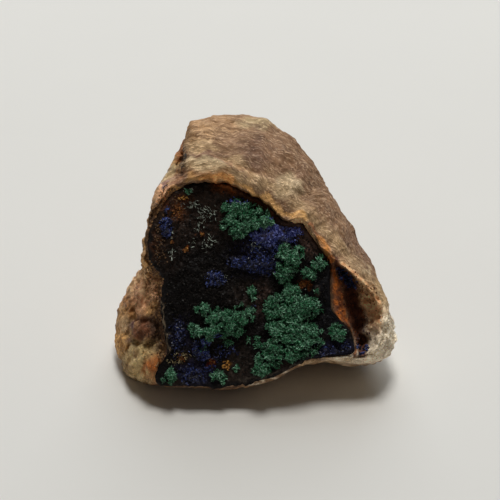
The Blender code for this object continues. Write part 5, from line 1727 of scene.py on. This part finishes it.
# %% Grain material
def make_grain_material(name, colours, roughness, level=0.4, dull=0.45):
    """Grains of two tones, chosen by each grain's own shade, with a fine uneven surface."""
    made, tree, shader = new_material(name, roughness, level)
    where = place(tree)
    first, second = (tuple(colour) for colour in colours)
    colour = blend(tree, attribute(tree, "shade"), first, second)
    duller = tinted(tree, colour, (dull, 0.94 * dull, 0.88 * dull))
    dusty = patches(tree, where, 1.6, 0.4, 0.2)
    colour = blend(tree, times(tree, dusty, 0.6), colour, duller)
    worn = plus(tree, roughness - 0.08, times(tree, dusty, 0.3))
    set_surface(tree, shader, colour, worn, fine_grain(tree, where, 8.0, 0.3))
    return made


BLACK_GRAINS = make_grain_material("black_grains", (tone(9, 8, 9), tone(34, 27, 24)), 0.42, 0.2)
PALE_GRAINS = make_grain_material("pale_splinters", (tone(112, 122, 112), tone(226, 240, 228)), 0.35)
EARTH_GRAINS = make_grain_material("iron_earth", (tone(104, 54, 22), tone(170, 112, 50)), 0.7)
GOLD_GRAINS = make_grain_material("gold_earth", (tone(150, 92, 34), tone(236, 176, 88)), 0.55)
STRAW_GRAINS = make_grain_material("straw_crystals", (tone(96, 84, 58), tone(206, 190, 146)), 0.4)
MARGIN_GRAINS = make_grain_material("margin_grains", (tone(40, 28, 21), tone(122, 90, 58)), 0.6)
print("finishes so far:", [made.name for made in bpy.data.materials])

# %% [markdown]
# The crust's own crystals come next: a dense field of near-black grains, pale greenish splinters that
# catch the light, mostly at the upper left, straw-coloured ones low down, and crumbs of golden and
# orange iron earth.

# %% Grains on the crust
STUB = (5, [(-0.5, 0.0), (0.0, 1.0), (0.5, 0.7), (0.75, 0.0)])
PALE_OVALS = [
    (-14.3, -0.9, 0.7, 0.9), (-8.3, 0.8, 0.8, 1.0), (-8.8, 6.4, 0.9, 2.0), (-11.0, 8.4, 1.6, 0.8),
    (-9.6, 4.2, 0.9, 0.9), (-7.0, 6.8, 0.7, 1.4), (-10.6, 1.4, 0.6, 0.8), (-7.0, 2.0, 0.7, 1.2),
    (-11.8, 11.3, 1.2, 0.6), (-14.6, 3.0, 0.4, 0.8), (-4.6, -4.9, 0.7, 0.5), (-7.4, -20.0, 0.9, 0.4),
    (1.4, 0.9, 1.2, 0.8), (4.6, 2.6, 3.4, 0.8), (-9.2, -19.2, 1.2, 0.8), (12.4, -7.7, 0.4, 0.4),
]
EARTH_OVALS = [
    (-8.9, 3.0, 0.5, 0.5), (-11.8, 0.1, 0.6, 0.5), (-7.1, -20.9, 0.6, 0.9), (10.2, -6.3, 1.1, 0.7),
    (-14.3, 1.7, 0.4, 0.7), (-13.4, 7.2, 1.0, 1.2), (-12.6, -19.8, 1.0, 0.7),
]
GOLD_OVALS = [
    (-4.4, -21.3, 0.8, 0.65), (-8.9, 3.0, 0.35, 0.4), (-11.8, 0.1, 0.45, 0.4), (-12.6, 9.7, 0.9, 0.35),
]
STRAW_OVALS = [(-12.4, -19.6, 1.6, 0.8), (-13.4, -20.6, 0.8, 0.6), (-15.0, -20.4, 0.6, 0.6)]
MARGIN_OVALS = [
    (-16.4, 6.4, 1.0, 1.4), (-17.0, 3.0, 1.0, 3.2), (-16.6, -1.2, 1.2, 1.8), (-14.6, 9.0, 1.6, 1.0),
    (-16.0, -7.6, 0.6, 2.4), (-15.4, -18.0, 0.7, 2.0),
]
WHOLE_CRUST = [(-1.0, -6.0, 18.5, 18.5)]
# Name, material, form, ovals, grains a square millimetre, length, slenderness, spread, lift, seed
CRUST_GRAINS = [
    ("crust_grains", BLACK_GRAINS, STUB, WHOLE_CRUST, 6.5, 0.26, 0.55, 0.7, 0.0, 821),
    ("pale_splinters", PALE_GRAINS, NEEDLE, PALE_OVALS, 7.5, 0.47, 0.13, 1.3, 0.16, 831),
    ("iron_earth_crumbs", EARTH_GRAINS, STUB, EARTH_OVALS, 12.0, 0.24, 0.6, 0.9, 0.03, 841),
    ("gold_earth", GOLD_GRAINS, STUB, GOLD_OVALS, 14.0, 0.28, 0.55, 1.0, 0.08, 844),
    ("straw_crystals", STRAW_GRAINS, NEEDLE, STRAW_OVALS, 9.0, 0.42, 0.2, 1.2, 0.1, 843),
    ("margin_crumbs", MARGIN_GRAINS, STUB, MARGIN_OVALS, 7.0, 0.24, 0.6, 0.9, 0.0, 842),
]
for name, material, *shape in CRUST_GRAINS:
    add_crystals(name, scattered_crystals(*shape), material)

# %% [markdown]
# Quartz shows as glassy pale grains in the rock's lower right corner, and along the left margin and in
# the hollow the rock crumbles: tan, straw, umber and purple bits a few tenths of a millimetre wide
# break its edge against the dark crust. One function sets both on the rock's own points, leaning with
# its surface, so that no grain hangs in the air, and a list says which kinds lie where.

# %% Quartz grains and crumbs of rock
FLOOR_CLEARANCE = 0.7
QUARTZ_RINGS = (2.02, 2.8)
QUARTZ_OVALS = [(24.0, -15.4, 4.4, 3.8, 1.0), (21.2, -19.6, 4.0, 1.4, 1.0)]
CRUMB_RINGS = (1.06, 2.45)
ROCK_NORMALS = grid_normals(ROCK_POINTS)
# Per kind: name, two tones, chance a point, typical length in mm, ovals as before.
CRUMBS = [
    ("tan_crumbs", (tone(104, 70, 44), tone(200, 156, 106)), 0.22, 0.20, [
        (-17.3, 8.0, 1.0, 3.0, 0.6), (-18.2, 0.5, 0.6, 4.6, 0.6), (-17.8, -6.4, 1.6, 4.4, 0.6),
        (-17.4, -11.0, 1.2, 2.2, 0.6), (-16.6, -19.6, 1.0, 2.6, 0.6), (22.4, -8.6, 1.8, 2.8, 0.5),
        (-14.8, 10.6, 1.8, 1.2, 0.4),
    ]),
    ("umber_crumbs", (tone(62, 45, 34), tone(140, 104, 72)), 0.22, 0.16, [
        (-17.2, 6.6, 1.0, 3.4, 0.9), (-18.3, 0.4, 0.6, 5.4, 1.0), (-17.4, -15.4, 1.6, 4.0, 1.0),
        (-17.2, -9.4, 1.4, 2.0, 0.35), (-12.6, 15.8, 1.2, 1.4, 0.8),
    ]),
    ("hollow_crumbs", (tone(56, 26, 18), tone(150, 84, 46)), 0.32, 0.16, [
        (18.4, -9.0, 1.8, 5.0, 0.7), (20.0, -15.0, 2.0, 3.6, 0.7),
    ]),
    ("straw_crumbs", (tone(140, 118, 76), tone(214, 190, 136)), 0.20, 0.22, [
        (-21.6, -20.4, 2.2, 3.0, 0.8), (-22.8, -7.4, 2.0, 4.0, 0.3), (-16.0, 14.6, 1.2, 2.2, 0.5),
    ]),
    ("purple_crumbs", (tone(34, 26, 34), tone(84, 66, 84)), 0.30, 0.16, [
        (20.6, -14.4, 1.4, 2.4, 0.6), (-16.2, 12.0, 0.8, 0.8, 0.6),
    ]),
]


def set_on_rock(name, material, rings, ovals, chance, lengths, lean, slender, seed):
    """Short stubs on rock points chosen by chance, thickest in the middle of each oval."""
    rng = np.random.default_rng(seed)
    chosen_rings = (ROCK_RING > rings[0]) & (ROCK_RING < rings[1])
    points, normals = ROCK_POINTS[chosen_rings], ROCK_NORMALS[chosen_rings]
    wanted = spots(points[:, 0], points[:, 1], ovals)
    chosen = rng.uniform(size=len(points)) < chance * wanted
    chosen = chosen & (to_world(points)[:, 2] > FLOOR_CLEARANCE)
    points, normals = points[chosen], normals[chosen]
    grown = rng.uniform(*lengths, len(points))
    axes = normals + lean * rng.normal(size=normals.shape)
    add_crystals(name, crystals(points, axes, grown, slender * grown, STUB, rng), material)


QUARTZ_GRAINS = make_grain_material(
    "quartz_grains", (tone(214, 198, 170), tone(250, 242, 222)), 0.25, dull=0.8)
set_on_rock(
    "quartz_grains", QUARTZ_GRAINS, QUARTZ_RINGS, QUARTZ_OVALS, chance=0.12,
    lengths=(0.14, 0.38), lean=0.7, slender=0.5, seed=851)
for number, (name, colours, chance, size, ovals) in enumerate(CRUMBS):
    set_on_rock(
        name, make_grain_material(name, colours, 0.6, 0.3), CRUMB_RINGS, ovals, chance,
        lengths=(0.7 * size, 2.2 * size), lean=0.9, slender=0.6, seed=860 + number)
